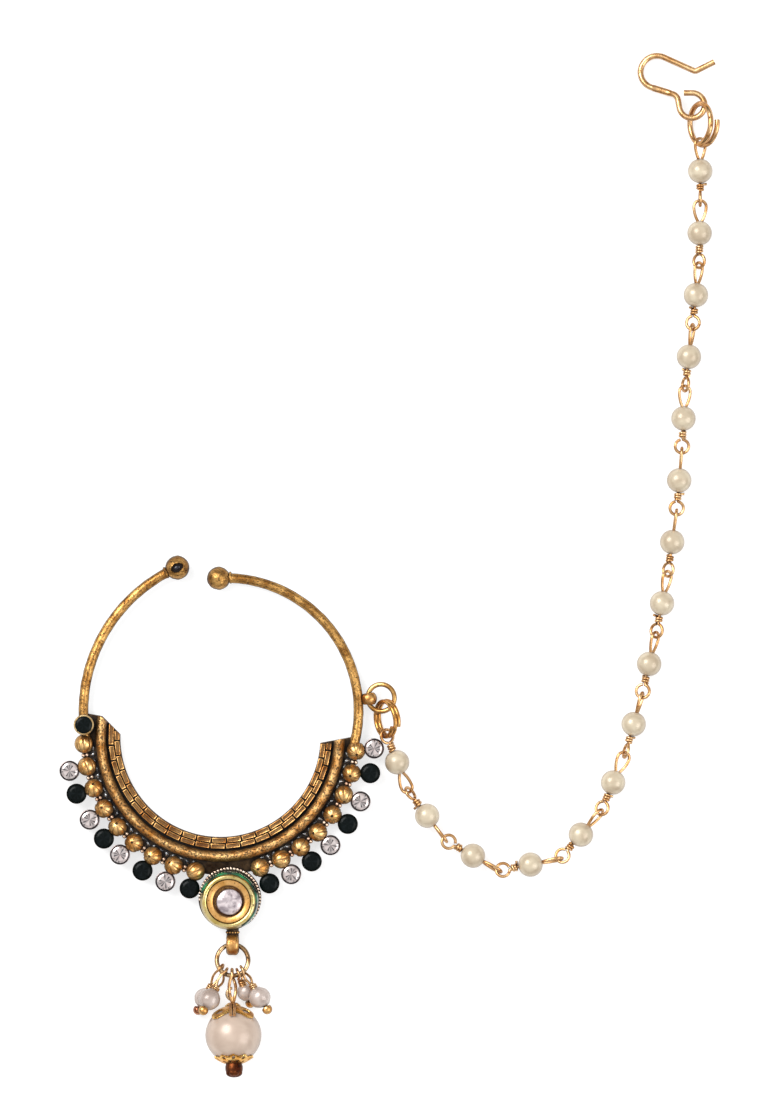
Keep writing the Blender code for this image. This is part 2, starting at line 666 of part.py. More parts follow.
def shell_profile(cap_diameter):
    """A cap that follows the pearl: its inner and outer arcs, from the bore to the rim."""
    inner = pearl_radius + SEAT_GAP
    outer = inner + CAP_WALL
    edge = math.asin(cap_diameter / 2 / outer)
    hole = math.asin(bore_radius / inner)
    steps = 3
    inside = []
    outside = []
    for k in range(steps + 1):
        turn = hole + (edge - hole) * k / steps
        inside.append((inner * math.sin(turn), inner * math.cos(turn)))
        outside.append((outer * math.sin(turn), outer * math.cos(turn)))
    return inside + outside[::-1]


def pearl_profile():
    """The drilled pearl: its arc from bore to bore, closed by the bore's wall."""
    hole = math.asin(bore_radius / pearl_radius)
    points = []
    for k in range(9):
        turn = hole + (math.pi - 2 * hole) * k / 8
        points.append((pearl_radius * math.sin(turn), pearl_radius * math.cos(turn)))
    return points


pearl_axis = main_place @ Matrix.Translation((main_at, 0, 0))
towards_ring = pearl_axis @ Matrix.Rotation(-math.pi / 2, 4, "Y")
away = pearl_axis @ Matrix.Rotation(math.pi / 2, 4, "Y")
piece("main_pearl", turned(pearl_profile(), sides=14), "cream_imitation_pearl", away)
piece("main_pearl_top_cap", turned(shell_profile(CAP_DIAMETER["top"]), sides=12), "gold_plated_cap",
      towards_ring)
piece("main_pearl_bottom_cap", turned(shell_profile(CAP_DIAMETER["bottom"]), sides=12),
      "gold_plated_cap", away)

head_at = main_at + pearl_radius + 2 * SEAT_GAP + CAP_WALL + PIN_HEAD_HEIGHT * 0.5
long_loop = []
for spot in circle(main_loop_radius, 12):
    upright = Matrix.Rotation(math.pi / 2, 4, "X") @ spot
    if upright.x > MAIN_PIN_WIRE / 10:
        upright.x += MAIN_LOOP_STRETCH
        upright.z *= 0.6
    long_loop.append(upright)
stem_start = main_loop_end - MAIN_PIN_WIRE / 4
pin_shapes = [
    wire(long_loop, MAIN_PIN_WIRE, sides=6, closed=True, shape_up=Vector((0, 1, 0))),
    wire([Vector((stem_start, 0, 0)), Vector((head_at, 0, 0))], MAIN_PIN_WIRE, sides=6),
    ball(PIN_HEAD_DIAMETER, (head_at, 0, 0), sides=10, rings=6,
         squash=(PIN_HEAD_HEIGHT / PIN_HEAD_DIAMETER, 1, 1)),
]
dress(soldered("main_pearl_pin", pin_shapes), "gold_plated_wire", main_place)


# Rings at the hoop's side.

side_ring_radius = (SIDE_RING_DIAMETER - SIDE_RING_WIRE) / 2
side_out = direction(ear_angle, SIDE_RING_TILT)
side_ring_centre = side_ring_hold + side_out * side_ring_radius
side_ring_place = axes(side_out, (0, 0, 1), side_ring_centre)
piece("side_jump_ring", wire(circle(side_ring_radius, 16), SIDE_RING_WIRE, sides=6, closed=True),
      "gold_plated_wire", side_ring_place)


def tilted_ring_axes(long_heading, tilt):
    """Axes of a ring whose long side, local Y, lies level and whose local X climbs by the tilt."""
    along = direction(long_heading)
    sideways = direction(long_heading - 90.0)
    climb = sideways * math.cos(math.radians(tilt)) + Vector((0, 0, math.sin(math.radians(tilt))))
    return axes(climb, climb.cross(along))


coil_radius = (COIL_RING_DIAMETER - COIL_RING_WIRE) / 2
coil_reach = SIDE_RING_WIRE / 2 + LINK_GAP + COIL_RING_WIRE / 2
side_low_point = side_ring_place @ Vector((0, -side_ring_radius, 0))
coil_top = side_low_point + Vector((COIL_RING_SLACK[0], coil_reach + COIL_RING_SLACK[1], 0))
chain_start = stone_places()[-1][1].x + CUP_DIAMETER / 2 + CHAIN_SIDE_GAP
coil_lean = math.degrees(math.asin((chain_start - coil_top.x) / (2 * coil_radius)))
coil_turn = tilted_ring_axes(90.0 + coil_lean, COIL_RING_TILT)
coil_centre = coil_top - coil_turn.to_3x3() @ Vector((0, coil_radius, 0))
coil_start = 60.0
rise_at_contact = COIL_RING_PITCH * ((COIL_RING_CONTACT - coil_start) % 360.0 + 180.0) / 360.0
coil = circle(coil_radius, 27, first=coil_start, sweep=720.0, rise=2 * COIL_RING_PITCH)
coil = [point - Vector((0, 0, rise_at_contact)) for point in coil]
coil_centre.z = COIL_RING_WIRE / 2 - min((coil_turn @ point).z for point in coil)
coil_place = Matrix.Translation(coil_centre) @ coil_turn
piece("coil_ring", wire(coil, COIL_RING_WIRE, sides=5), "gold_plated_wire", coil_place)


# Pearl chain: every link is a bead on a pin with a long loop and a wrapped round loop.

long_end_radius = (LONG_LOOP_WIDTH - CHAIN_WIRE) / 2
round_radius = (ROUND_LOOP_DIAMETER - CHAIN_WIRE) / 2
bead_radius = BEAD_DIAMETER / 2
joint_half = (CHAIN_WIRE + LINK_GAP) / 2
hook_reach = bead_radius + LONG_LOOP_LENGTH - CHAIN_WIRE / 2 - joint_half
nose_reach = bead_radius + WRAP_LENGTH + ROUND_LOOP_DIAMETER - CHAIN_WIRE / 2 - joint_half
long_loop_centre = bead_radius + LONG_LOOP_LENGTH - CHAIN_WIRE / 2 - long_end_radius
round_loop_centre = bead_radius + WRAP_LENGTH + ROUND_LOOP_DIAMETER / 2


def long_loop_points():
    """Drop-shaped loop: two straight sides from the bead that open into a round end."""
    start = Vector((bead_radius - SOLDER_LAP, 0, 0))
    points = [start]
    for k in range(8):
        turn = math.radians(-120.0 + 240.0 * k / 7)
        points.append(Vector((long_loop_centre + long_end_radius * math.cos(turn),
                              long_end_radius * math.sin(turn), 0)))
    return points


def round_loop_points():
    return [Vector((-round_loop_centre, 0, 0)) + point for point in circle(round_radius, 10)]


def chain_link(name, long_roll, round_roll):
    """A bead with its wire, local X towards the hair hook; a roll of 0 lays a loop level."""
    long_turn = Matrix.Rotation(math.radians(long_roll), 4, "X")
    round_turn = Matrix.Rotation(math.radians(round_roll), 4, "X")
    wrap = drum(WRAP_DIAMETER, -(bead_radius + WRAP_LENGTH + CHAIN_WIRE / 2), SOLDER_LAP - bead_radius,
                sides=6, matrix=Matrix.Rotation(math.pi / 2, 4, "Y"))
    return soldered(name, [
        ball(BEAD_DIAMETER, sides=10, rings=6),
        wire([long_turn @ point for point in long_loop_points()], CHAIN_WIRE, sides=5, closed=True,
             shape_up=long_turn @ Vector((0, 0, 1))),
        wire([round_turn @ point for point in round_loop_points()], CHAIN_WIRE, sides=5, closed=True,
             shape_up=round_turn @ Vector((0, 0, 1))),
        wrap,
    ])


def facing_roll(along, passing):
    """Roll that turns a loop on this axis square to the wire passing through it."""
    level = along.cross(Vector((0, 0, 1))).normalized()
    upright = level.cross(along)
    return math.degrees(math.atan2(passing.dot(level), passing.dot(upright)))


def ring_contact(turn, radius, degrees):
    """Point on a ring, measured from its low end, and the wire's direction there."""
    angle = math.radians(degrees)
    point = turn.to_3x3() @ Vector((math.sin(angle), -math.cos(angle), 0)) * radius
    return point, turn.to_3x3() @ Vector((math.cos(angle), math.sin(angle), 0))


hook_ring_radius = (HOOK_RING_DIAMETER - HOOK_RING_WIRE) / 2
hook_ring_turn = tilted_ring_axes(90.0, HOOK_RING_TILT)
hook_coil_rise = HOOK_RING_PITCH * HOOK_RING_TURN / 360.0
hook_coil = circle(hook_ring_radius, 24, first=HOOK_RING_FREE_END, sweep=-HOOK_RING_TURN,
                   rise=hook_coil_rise)
held_share = (HOOK_RING_FREE_END - HOOK_RING_CONTACT) / HOOK_RING_TURN
hook_coil = [point - Vector((0, 0, hook_coil_rise * held_share)) for point in hook_coil]
hook_ring_height = HOOK_RING_WIRE / 2 - min((hook_ring_turn @ point).z for point in hook_coil)
hook_ring_hold, hook_ring_wire_way = ring_contact(hook_ring_turn, hook_ring_radius, HOOK_RING_CONTACT)

coil_hold, coil_wire_way = ring_contact(coil_turn, coil_radius, COIL_RING_CONTACT)
joint = coil_centre + coil_hold
round_roll = facing_roll(direction(CHAIN_LAY[0][0]), coil_wire_way)
for number, (heading, long_roll) in enumerate(CHAIN_LAY, start=1):
    before = round_loop_centre if number == 1 else nose_reach
    after = hook_reach
    end_height = bead_radius
    if number == len(CHAIN_LAY):
        after = long_loop_centre
        end_height = hook_ring_height + hook_ring_hold.z
        long_roll = facing_roll(direction(heading), hook_ring_wire_way)
    pitch = math.degrees(math.asin((end_height - joint.z) / (before + after)))
    along = direction(heading, pitch)
    bead_centre = joint + along * before
    link = chain_link(f"pearl_link_{number:02d}", long_roll, round_roll)
    dress(link, "ivory_imitation_pearl", axes(along, (0, 0, 1), bead_centre))
    joint = bead_centre + along * after
    round_roll = long_roll + 90.0


# Hook ring: an open coil that holds the chain's last loop and the hook's eye.

hook_ring_centre = joint - hook_ring_hold
piece("hook_ring", wire(hook_coil, HOOK_RING_WIRE, sides=5), "gold_plated_wire",
      Matrix.Translation(hook_ring_centre) @ hook_ring_turn)


# Hair hook: one wire bent into an eye, a shank, a wide crook and a turned-out tip.

def bent_route(bends, steps_per_turn=14):
    """Centre line of a wire bent in one plane, from (run, bend radius, turn) rows."""
    place = Vector((0, 0, 0))
    heading = 0.0
    points = [place.copy()]
    for run, radius, turn in bends:
        place = place + direction(heading) * run
        points.append(place.copy())
        if not turn:
            continue
        centre = place + direction(heading + math.copysign(90.0, turn)) * radius
        count = max(2, round(abs(turn) / 360.0 * steps_per_turn))
        for k in range(1, count + 1):
            swept = Matrix.Rotation(math.radians(turn) * k / count, 3, "Z")
            points.append(centre + swept @ (place - centre))
        place = points[-1].copy()
        heading += turn
    return points


eye_run, eye_radius, _ = HOOK_BENDS[0]
hook_route = [point + Vector((-eye_run, eye_radius, 0)) for point in bent_route(HOOK_BENDS)]
slope_axis = direction(HOOK_FALL_HEADING - 90.0)
hook_turn = Matrix.Rotation(-math.radians(HOOK_SLOPE), 4, slope_axis)
eye_offset = direction(HOOK_EYE_HEADING) * (hook_ring_radius * HOOK_EYE_REACH)
hook_low = min((hook_turn @ point).z for point in hook_route)
eye_centre = Vector((hook_ring_centre.x, hook_ring_centre.y, HOOK_WIRE / 2 - hook_low)) + eye_offset
piece("hair_hook", wire(hook_route, HOOK_WIRE, sides=6), "gold_plated_wire",
      Matrix.Translation(eye_centre) @ hook_turn)

# The origin goes under the middle of the lay-out.

bpy.context.view_layer.update()
corners = []
for child in ROOT.children:
    corners += [child.matrix_world @ vertex.co for vertex in child.data.vertices]
low = [min(corner[k] for corner in corners) for k in range(3)]
high = [max(corner[k] for corner in corners) for k in range(3)]
ROOT.location = (-(low[0] + high[0]) / 2, -(low[1] + high[1]) / 2, -low[2])
bpy.context.view_layer.update()
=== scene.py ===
"""The looks of a nath: a nose hoop with a jewelled half-ring band, a pearl drop and a hair chain.

Every piece is modelled in millimetres about the centre of the half-ring band and is then set down in
the frame. X runs to the right of the lay-out, Y towards the hair hook and Z up from the surface.
"""

import json
import math

import bmesh
import bpy
from mathutils import Matrix, Vector

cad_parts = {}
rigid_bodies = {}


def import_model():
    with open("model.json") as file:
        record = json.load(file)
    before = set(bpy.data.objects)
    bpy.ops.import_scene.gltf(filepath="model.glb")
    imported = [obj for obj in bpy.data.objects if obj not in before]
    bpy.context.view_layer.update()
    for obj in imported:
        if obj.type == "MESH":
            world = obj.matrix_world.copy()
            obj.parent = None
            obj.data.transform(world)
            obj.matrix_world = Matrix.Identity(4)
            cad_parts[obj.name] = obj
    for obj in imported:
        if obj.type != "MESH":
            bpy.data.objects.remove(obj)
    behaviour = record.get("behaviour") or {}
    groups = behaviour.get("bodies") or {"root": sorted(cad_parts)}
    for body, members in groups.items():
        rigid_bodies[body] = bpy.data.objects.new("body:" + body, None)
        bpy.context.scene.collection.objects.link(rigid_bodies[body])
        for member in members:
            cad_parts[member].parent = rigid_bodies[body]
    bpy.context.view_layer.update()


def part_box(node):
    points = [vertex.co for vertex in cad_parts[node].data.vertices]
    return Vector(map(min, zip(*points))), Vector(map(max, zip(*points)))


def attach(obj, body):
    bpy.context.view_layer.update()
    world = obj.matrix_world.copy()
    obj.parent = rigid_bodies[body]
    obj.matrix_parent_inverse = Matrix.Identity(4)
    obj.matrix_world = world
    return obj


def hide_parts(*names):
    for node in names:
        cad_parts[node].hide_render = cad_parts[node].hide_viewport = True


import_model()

# The cast band. One piece of brass, cast flat at the back, antiqued dark and rubbed bright on what
# stands out. From the hoop's inside out: a ledge for two rows of bricks, a groove, a half-round rib
# and a sunk channel. Both ends are sawn off on a slant.
MM = 0.001
BAND_INNER = 16.3
LEDGE_WIDTH = 1.9
GROOVE = 0.3
RIB_WIDTH = 1.8
RIB_HEIGHT = 1.7
CHANNEL = 2.1
PLATE_TOP = 1.9
LEDGE_TOP = 2.2
BAND_ENDS = {"left": (178.4, 172.6), "right": (356.6, 357.8)}
RIB_INNER = BAND_INNER + LEDGE_WIDTH + GROOVE
RIB_OUTER = RIB_INNER + RIB_WIDTH
BAND_OUTER = RIB_OUTER + CHANNEL

# the flared cup of the kundan setting stands at this place from the band's centre
cup_low, cup_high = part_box("kundan_cup")
CUP_FROM_CENTRE = Vector((1.41, -26.60, 0)) * MM
BAND_CENTRE = Vector(((cup_low[0] + cup_high[0]) / 2, (cup_low[1] + cup_high[1]) / 2, 0))
BAND_CENTRE -= CUP_FROM_CENTRE


def polar(radius, degrees, z=0.0):
    """A point by its distance and direction from the band's centre."""
    turn = math.radians(degrees)
    return Vector((radius * math.cos(turn), radius * math.sin(turn), z))


def turned(degrees, axis="Z", size=4):
    """A turn about an axis through the origin."""
    return Matrix.Rotation(math.radians(degrees), size, axis)


def alone(made=None):
    """Object mode, with only this object picked out, or none."""
    if bpy.context.object and bpy.context.object.mode != "OBJECT":
        bpy.ops.object.mode_set(mode="OBJECT")
    bpy.ops.object.select_all(action="DESELECT")
    bpy.context.view_layer.objects.active = made
    if made:
        made.select_set(True)


def edit():
    """Edit mode on the piece at hand, with all of it picked out."""
    bpy.ops.object.mode_set(mode="EDIT")
    bpy.ops.mesh.select_all(action="SELECT")


def pick(test, kind="FACE"):
    """Picks out the faces, edges or corners whose place and normal pass the test."""
    bpy.ops.mesh.select_mode(type=kind)
    bpy.ops.mesh.select_all(action="DESELECT")
    mesh = bpy.context.object.data
    shape = bmesh.from_edit_mesh(mesh)
    for vertex in shape.verts if kind == "VERT" else ():
        vertex.select = test(vertex.co, vertex.normal)
    for edge in shape.edges if kind == "EDGE" else ():
        middle = (edge.verts[0].co + edge.verts[1].co) / 2
        edge.select = test(middle, (edge.verts[0].normal + edge.verts[1].normal) / 2)
    for face in shape.faces if kind == "FACE" else ():
        face.select = test(face.calc_center_median(), face.normal)
    shape.select_flush_mode()
    bmesh.update_edit_mesh(mesh)


def close_up():
    """Merges doubled corners and turns every face outwards."""
    bpy.ops.mesh.select_all(action="SELECT")
    bpy.ops.mesh.remove_doubles(threshold=0.001)
    bpy.ops.mesh.normals_make_consistent(inside=False)
    bpy.ops.object.mode_set(mode="OBJECT")


def finish_with(kind, **settings):
    """Puts a modifier on the piece at hand and applies it."""
    made = bpy.context.object
    modifier = made.modifiers.new(kind.title(), kind)
    for name, value in settings.items():
        setattr(modifier, name, value)
    bpy.ops.object.modifier_apply(modifier=modifier.name)


def soften(width, **settings):
    """Rounds the sharp edges of the piece at hand."""
    finish_with("BEVEL", width=width, segments=2, limit_method="ANGLE", **settings)


def piece(name, material, slot, *nodes, crease=35.0):
    """Sets the piece at hand down in the frame, dressed, named and riding on the one body."""
    made = bpy.context.object
    alone(made)
    made.matrix_world = Matrix.Translation(BAND_CENTRE) @ Matrix.Scale(MM, 4) @ made.matrix_world
    bpy.ops.object.transform_apply(location=True, rotation=True, scale=True)
    bpy.ops.object.shade_smooth_by_angle(angle=math.radians(crease))
    made.name = name
    made.data.name = name
    if not made.data.materials:
        made.data.materials.append(material)
    if nodes:
        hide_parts(*nodes)
    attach(made, "root")
    return made


def colour(code):
    """An sRGB hex code as linear red, green, blue and alpha."""
    parts = [int(code[k:k + 2], 16) / 255 for k in (0, 2, 4)]
    return (*(p / 12.92 if p <= 0.04045 else ((p + 0.055) / 1.055) ** 2.4 for p in parts), 1.0)


def fill(node, inputs):
    """Fills a node's inputs; each takes a value or another node's output."""
    for name, value in dict(inputs).items():
        if isinstance(value, bpy.types.NodeSocket):
            node.id_data.links.new(value, node.inputs[name])
        else:
            node.inputs[name].default_value = value


def add(tree, kind, inputs=(), **settings):
    """A node with its settings and inputs."""
    made = tree.nodes.new(kind)
    for name, value in settings.items():
        setattr(made, name, value)
    fill(made, inputs)
    return made


def new_material(name):
    """An empty Principled material, with its tree, shader and the piece's own coordinates."""
    made = bpy.data.materials.new(name)
    made.use_nodes = True
    tree = made.node_tree
    place = add(tree, "ShaderNodeTexCoord").outputs["Object"]
    return made, tree, tree.nodes["Principled BSDF"], place


def clouded(tree, place, size, shade, light, edges=(0.0, 1.0), **noise):
    """Two tones that run into each other in clouds of this size in millimetres."""
    cloud = add(tree, "ShaderNodeTexNoise", {"Vector": place, "Scale": 1 / (size * MM), **noise})
    cloud = add(tree, "ShaderNodeMapRange", {"Value": cloud.outputs[0], "From Min": edges[0],
                                             "From Max": edges[1]})
    tones = add(tree, "ShaderNodeMix", {0: cloud.outputs[0], 6: colour(shade), 7: colour(light)},
                data_type="RGBA")
    return tones.outputs[2]


def antiqued(name, low, high, patina_and_shade_colour, polish, grain, patina_and_shade_reach, bump, painted_flank_shade=0.7, pits_at=0.42):
    """Cast brass, plated gold, blackened and rubbed back: bright heights, black recesses of patina and
    painted shade.

    The grain of the pits and the reach of the patina and painted shade are in millimetres.
    """
    made, tree, shader, place = new_material(name)
    gold = clouded(tree, place, 1.6, low, high, edges=(0.35, 0.65), Detail=3.0)
    # pits and file marks of the casting
    pits = add(tree, "ShaderNodeTexNoise", {"Vector": place, "Scale": 1 / (grain * MM), "Detail": 4.0,
                                            "Roughness": 0.65})
    pitted = add(tree, "ShaderNodeMapRange", {"Value": pits.outputs[0], "From Min": pits_at,
                                              "From Max": pits_at - 0.08, "To Max": 0.85})
    # patina and painted shade: black where little open sky reaches, in hollows a rubbing cloth can't
    # reach and where shade falls
    reach = add(tree, "ShaderNodeAmbientOcclusion", {"Distance": patina_and_shade_reach * MM}, samples=6)
    wander = add(tree, "ShaderNodeMath", {0: pits.outputs[0], 1: 0.5}, operation="MULTIPLY")
    open_sky = add(tree, "ShaderNodeMath", {0: reach.outputs["AO"], 1: wander.outputs[0]},
                   operation="ADD")
    kept = add(tree, "ShaderNodeMapRange", {"Value": open_sky.outputs[0], "From Min": 1.02,
                                            "From Max": 0.66})
    drawn = add(tree, "ShaderNodeAttribute", attribute_name="patina")
    # painted shade: surfaces that turn away from straight up are darkened, which gives round pieces dark
    # edges
    normal = add(tree, "ShaderNodeNewGeometry").outputs["Normal"]
    facing = add(tree, "ShaderNodeSeparateXYZ", {0: normal})
    painted_flank_mask = add(tree, "ShaderNodeMapRange", {"Value": facing.outputs[2], "From Min": 0.72,
                                             "From Max": 0.2, "To Max": painted_flank_shade})
    # the black mixes patina, painted shade in the hollows, painted shade on the flanks and the pits
    black = kept
    for cause in (drawn.outputs["Fac"], painted_flank_mask.outputs[0], pitted.outputs[0]):
        black = add(tree, "ShaderNodeMath", {0: black.outputs[0], 1: cause}, operation="MAXIMUM",
                    use_clamp=True)
    black = black.outputs[0]
    skin = add(tree, "ShaderNodeMix", {0: black, 6: gold, 7: colour(patina_and_shade_colour)}, data_type="RGBA")
    metal = add(tree, "ShaderNodeMapRange", {"Value": black, "To Min": 1.0, "To Max": 0.55})
    rough = add(tree, "ShaderNodeMapRange", {"Value": black, "To Min": polish, "To Max": 0.62})
    relief = add(tree, "ShaderNodeBump", {"Height": pits.outputs[0], "Distance": 0.06 * MM * bump,
                                          "Strength": 1.0})
    fill(shader, {"Base Color": skin.outputs[2], "Metallic": metal.outputs[0],
                  "Roughness": rough.outputs[0], "Normal": relief.outputs[0]})
    return made


# cast brass with a thin gold wash: warm brown gold, black-brown in the recesses
ANTIQUE_GOLD = antiqued("antique_gold_on_cast_brass", "B07238", "ECB874", "1C0F08",
                        polish=0.30, grain=0.26, patina_and_shade_reach=0.75, bump=0.8, painted_flank_shade=0.85)
# the channel's floor was never rubbed: it kept nearly all of its black
BLACKENED = antiqued("blackened_brass_recess", "241810", "52402E", "0C0706",
                     polish=0.40, grain=0.34, patina_and_shade_reach=1.1, bump=1.0)


# the blank is swept past both ends of the band
BLANK_START = 170.0
BLANK_SWEEP = 190.0


def swept_band(steps):
    """Spins the section at hand, drawn across X, over the blank's sweep and saws both ends."""
    bpy.context.object.data.transform(turned(BLANK_START))
    edit()
    bpy.ops.mesh.spin(steps=steps, angle=math.radians(BLANK_SWEEP), center=(0, 0, 0), axis=(0, 0, -1))
    for side, keep in (("left", -1), ("right", 1)):
        inner = polar(BAND_INNER, BAND_ENDS[side][0])
        outer = polar(RIB_OUTER, BAND_ENDS[side][1])
        along = outer - inner
        away = Vector((along.y, -along.x, 0)) * -keep
        pick(lambda place, _: place.x * keep > 0)
        bpy.ops.mesh.bisect(plane_co=inner, plane_no=away, use_fill=True, clear_outer=True)
    close_up()


def stain(kept):
    """Notes on each corner of the piece at hand how much of its black it kept."""
    mesh = bpy.context.object.data
    patina = mesh.attributes.new("patina", "FLOAT", "POINT")
    for corner, value in zip(mesh.vertices, patina.data):
        value.value = kept(corner.co)


def band_strip(inner, outer, top, steps=120):
    """A flat-topped strip of the band between two radii."""
    alone()
    bpy.ops.mesh.primitive_plane_add(size=1, location=((inner + outer) / 2, 0, top / 2),
                                     rotation=(math.pi / 2, 0, 0))
    bpy.context.object.scale = (outer - inner, top, 1)
    bpy.ops.object.transform_apply(location=True, rotation=True, scale=True)
    swept_band(steps)


def oval_section(radius, height, half_width, half_height, corners):
    """An upright oval at this distance along X, ready to be spun about Z."""
    alone()
    bpy.ops.mesh.primitive_circle_add(vertices=corners, radius=1, fill_type="NGON",
                                      location=(radius, 0, height), rotation=(math.pi / 2, 0, 0))
    bpy.context.object.scale = (half_width, half_height, 1)
    bpy.ops.object.transform_apply(location=True, rotation=True, scale=True)


band_strip(BAND_INNER, BAND_INNER + LEDGE_WIDTH, LEDGE_TOP)
# the joints between the bricks keep all of their black
stain(lambda place: 0.95 if place.z > LEDGE_TOP - 0.01 else 0.0)
soften(0.12)
piece("band_ledge", ANTIQUE_GOLD, "antique_gold", "nath_frame")

band_strip(BAND_INNER + LEDGE_WIDTH - 0.05, BAND_OUTER, PLATE_TOP)
soften(0.15)
piece("band_channel", BLACKENED, "antique_gold")

oval_section((RIB_INNER + RIB_OUTER) / 2, PLATE_TOP, RIB_WIDTH / 2, RIB_HEIGHT, 28)
swept_band(180)
# the mould left the rib a little lumpy
lumps = bpy.data.textures.new("mould_lumps", "CLOUDS")
lumps.noise_scale = 0.9


def unevenly(strength):
    """Raises and sinks the surface of the piece at hand by up to half of this."""
    finish_with("DISPLACE", texture=lumps, strength=strength, mid_level=0.5, texture_coords="LOCAL")


unevenly(0.22)
# hammered-looking and full of pits, brighter than the hoop along its crest
PITTED_GOLD = antiqued("pitted_gold_rib", "B87A38", "FAC984", "1C0F08",
                       polish=0.30, grain=0.34, patina_and_shade_reach=0.8, bump=2.6, painted_flank_shade=0.85, pits_at=0.51)
piece("band_rib", PITTED_GOLD, "antique_gold")

# The bricks. Two rows of small raised blocks cast on the ledge in brick bond, each with a raised
# edge round a slightly sunk middle. The joints between them stay black.
BRICK_ROW = 0.95
BRICK_LENGTH = 2.45
BRICK_JOINT = 0.19
BRICK_RELIEF = 0.42
# how far the first brick of each row runs out past the band's end, before it is cut off
BRICK_OVERRUN = (0.4, 1.1)


def band_angle(radius, share):
    """Direction of the band's cross-section: its ends are cut on a slant up to the rib."""
    slant = min(1.0, (radius - BAND_INNER) / (RIB_OUTER - BAND_INNER))
    left = BAND_ENDS["left"][0] + slant * (BAND_ENDS["left"][1] - BAND_ENDS["left"][0])
    right = BAND_ENDS["right"][0] + slant * (BAND_ENDS["right"][1] - BAND_ENDS["right"][0])
    return left + share * (right - left)


def copy_of(model, place):
    """A copy with its own mesh, carried to a place."""
    copy = model.copy()
    copy.data = model.data.copy()
    copy.data.transform(place)
    bpy.context.scene.collection.objects.link(copy)
    return copy


def join(first, *others):
    """Makes one object of several."""
    alone(first)
    for other in others:
        other.select_set(True)
    bpy.ops.object.join()


def repeat(places):
    """Copies the piece at hand to each place and joins the copies."""
    model = bpy.context.object
    row = [copy_of(model, place) for place in places]
    bpy.data.objects.remove(model)
    join(*row)


def brick_places():
    """The bricks in brick bond, each stretched to its row's even length."""
    places = []
    for row in range(2):
        near = BAND_INNER + row * BRICK_ROW + BRICK_JOINT / 2
        length = math.radians(band_angle(near, 1.0) - band_angle(near, 0.0)) * near
        count = round(length / BRICK_LENGTH)
        whole = length / (count + 0.5)
        # the inner row opens with a half brick and the outer row closes with one
        over = BRICK_OVERRUN[row]
        starts = [-over] + [whole * (k + 0.5 + 0.5 * row) for k in range(count)]
        sizes = [whole * (1 + row) / 2 + over] + [whole] * count
        if row == 1:
            sizes[-1] = whole / 2
        for start, size in zip(starts, sizes):
            middle = near + (BRICK_ROW - BRICK_JOINT) / 2
            turn = band_angle(middle, (start + size / 2) / length)
            stretch = (size - BRICK_JOINT) / (BRICK_LENGTH - BRICK_JOINT)
            places.append(Matrix.Translation(polar(middle, turn, LEDGE_TOP))
                          @ turned(turn + 90.0)
                          @ Matrix.Diagonal((stretch, 1, 1, 1)))
    return places


alone()
bpy.ops.mesh.primitive_cube_add(size=1, location=(0, 0, 0))
bpy.context.object.scale = (BRICK_LENGTH - BRICK_JOINT, BRICK_ROW - BRICK_JOINT, 2 * BRICK_RELIEF)
bpy.ops.object.transform_apply(scale=True)
edit()
pick(lambda place, normal: normal.z > 0.9)
bpy.ops.mesh.inset(thickness=0.13)
bpy.ops.mesh.inset(thickness=0.06, depth=-0.16)
close_up()
stain(lambda place: 0.7 if 0 < place.z < BRICK_RELIEF - 0.1 else 0.0)
soften(0.07)
repeat(brick_places())
# the first brick of each row is cut off along the band's slanted left end
slant_foot = polar(BAND_INNER, BAND_ENDS["left"][0])
slant = polar(RIB_OUTER, BAND_ENDS["left"][1]) - slant_foot
edit()
pick(lambda place, _: place.x < slant_foot.x + 0.4 and place.y > slant_foot.y - 3.5)
bpy.ops.mesh.select_linked()
bpy.ops.mesh.bisect(plane_co=slant_foot, plane_no=(slant.y, -slant.x, 0), use_fill=True,
                    clear_outer=True)
close_up()
piece("band_bricks", ANTIQUE_GOLD, "antique_gold")

# The granules. Seventeen hollow-looking melon beads of solid gold-washed brass, cast in a row along
# the channel, each fluted from pole to pole and turned its own way. The flutes hold the black.
GRANULE = 3.1
GRANULE_GAP = 0.62
GRANULE_FIRST = {"left": 10.2, "right": -3.6}
GRANULE_RING = BAND_OUTER - 0.2
GRANULE_Z = PLATE_TOP + 0.1
GRANULE_STEP = math.degrees((GRANULE + GRANULE_GAP) / GRANULE_RING)
FLUTE = 0.92
# how far each granule's pole leans up from the row, and how far it is turned across it
GRANULE_TURNS = {
    "left": [(0, 0), (8, 6), (62, -14), (74, 25), (66, -30), (78, 12), (70, 34), (58, -18), (28, 40)],
    "right": [(66, 20), (72, -16), (40, 28), (82, 10), (60, -35), (70, 24), (30, -12), (76, 15)],
}


def granule_angle(side, number):
    """Direction of a granule, counted down from the band's end."""
    step = GRANULE_STEP if side == "left" else -GRANULE_STEP
    return BAND_ENDS[side][1] + GRANULE_FIRST[side] + number * step


def in_flute(place):
    """Eight flutes run from pole to pole."""
    return round(math.degrees(math.atan2(place.y, place.x)) * 2) % 90 == 0


def scale_by(x, y, z, height=0.0):
    """Scales what is picked out about a point on Z."""
    bpy.ops.transform.resize(value=(x, y, z), center_override=(0, 0, height))


# brighter and yellower than the band: the cloth reached all of it but the flutes
GRANULE_GOLD = antiqued("rubbed_gold_on_cast_brass", "D4924A", "FACC88", "24120A",
                        polish=0.28, grain=0.30, patina_and_shade_reach=0.75, bump=0.6, painted_flank_shade=0.85)

alone()
bpy.ops.mesh.primitive_uv_sphere_add(segments=48, ring_count=20, radius=GRANULE / 2)
edit()
pick(lambda place, _: in_flute(place), "VERT")
scale_by(FLUTE, FLUTE, 1.0)
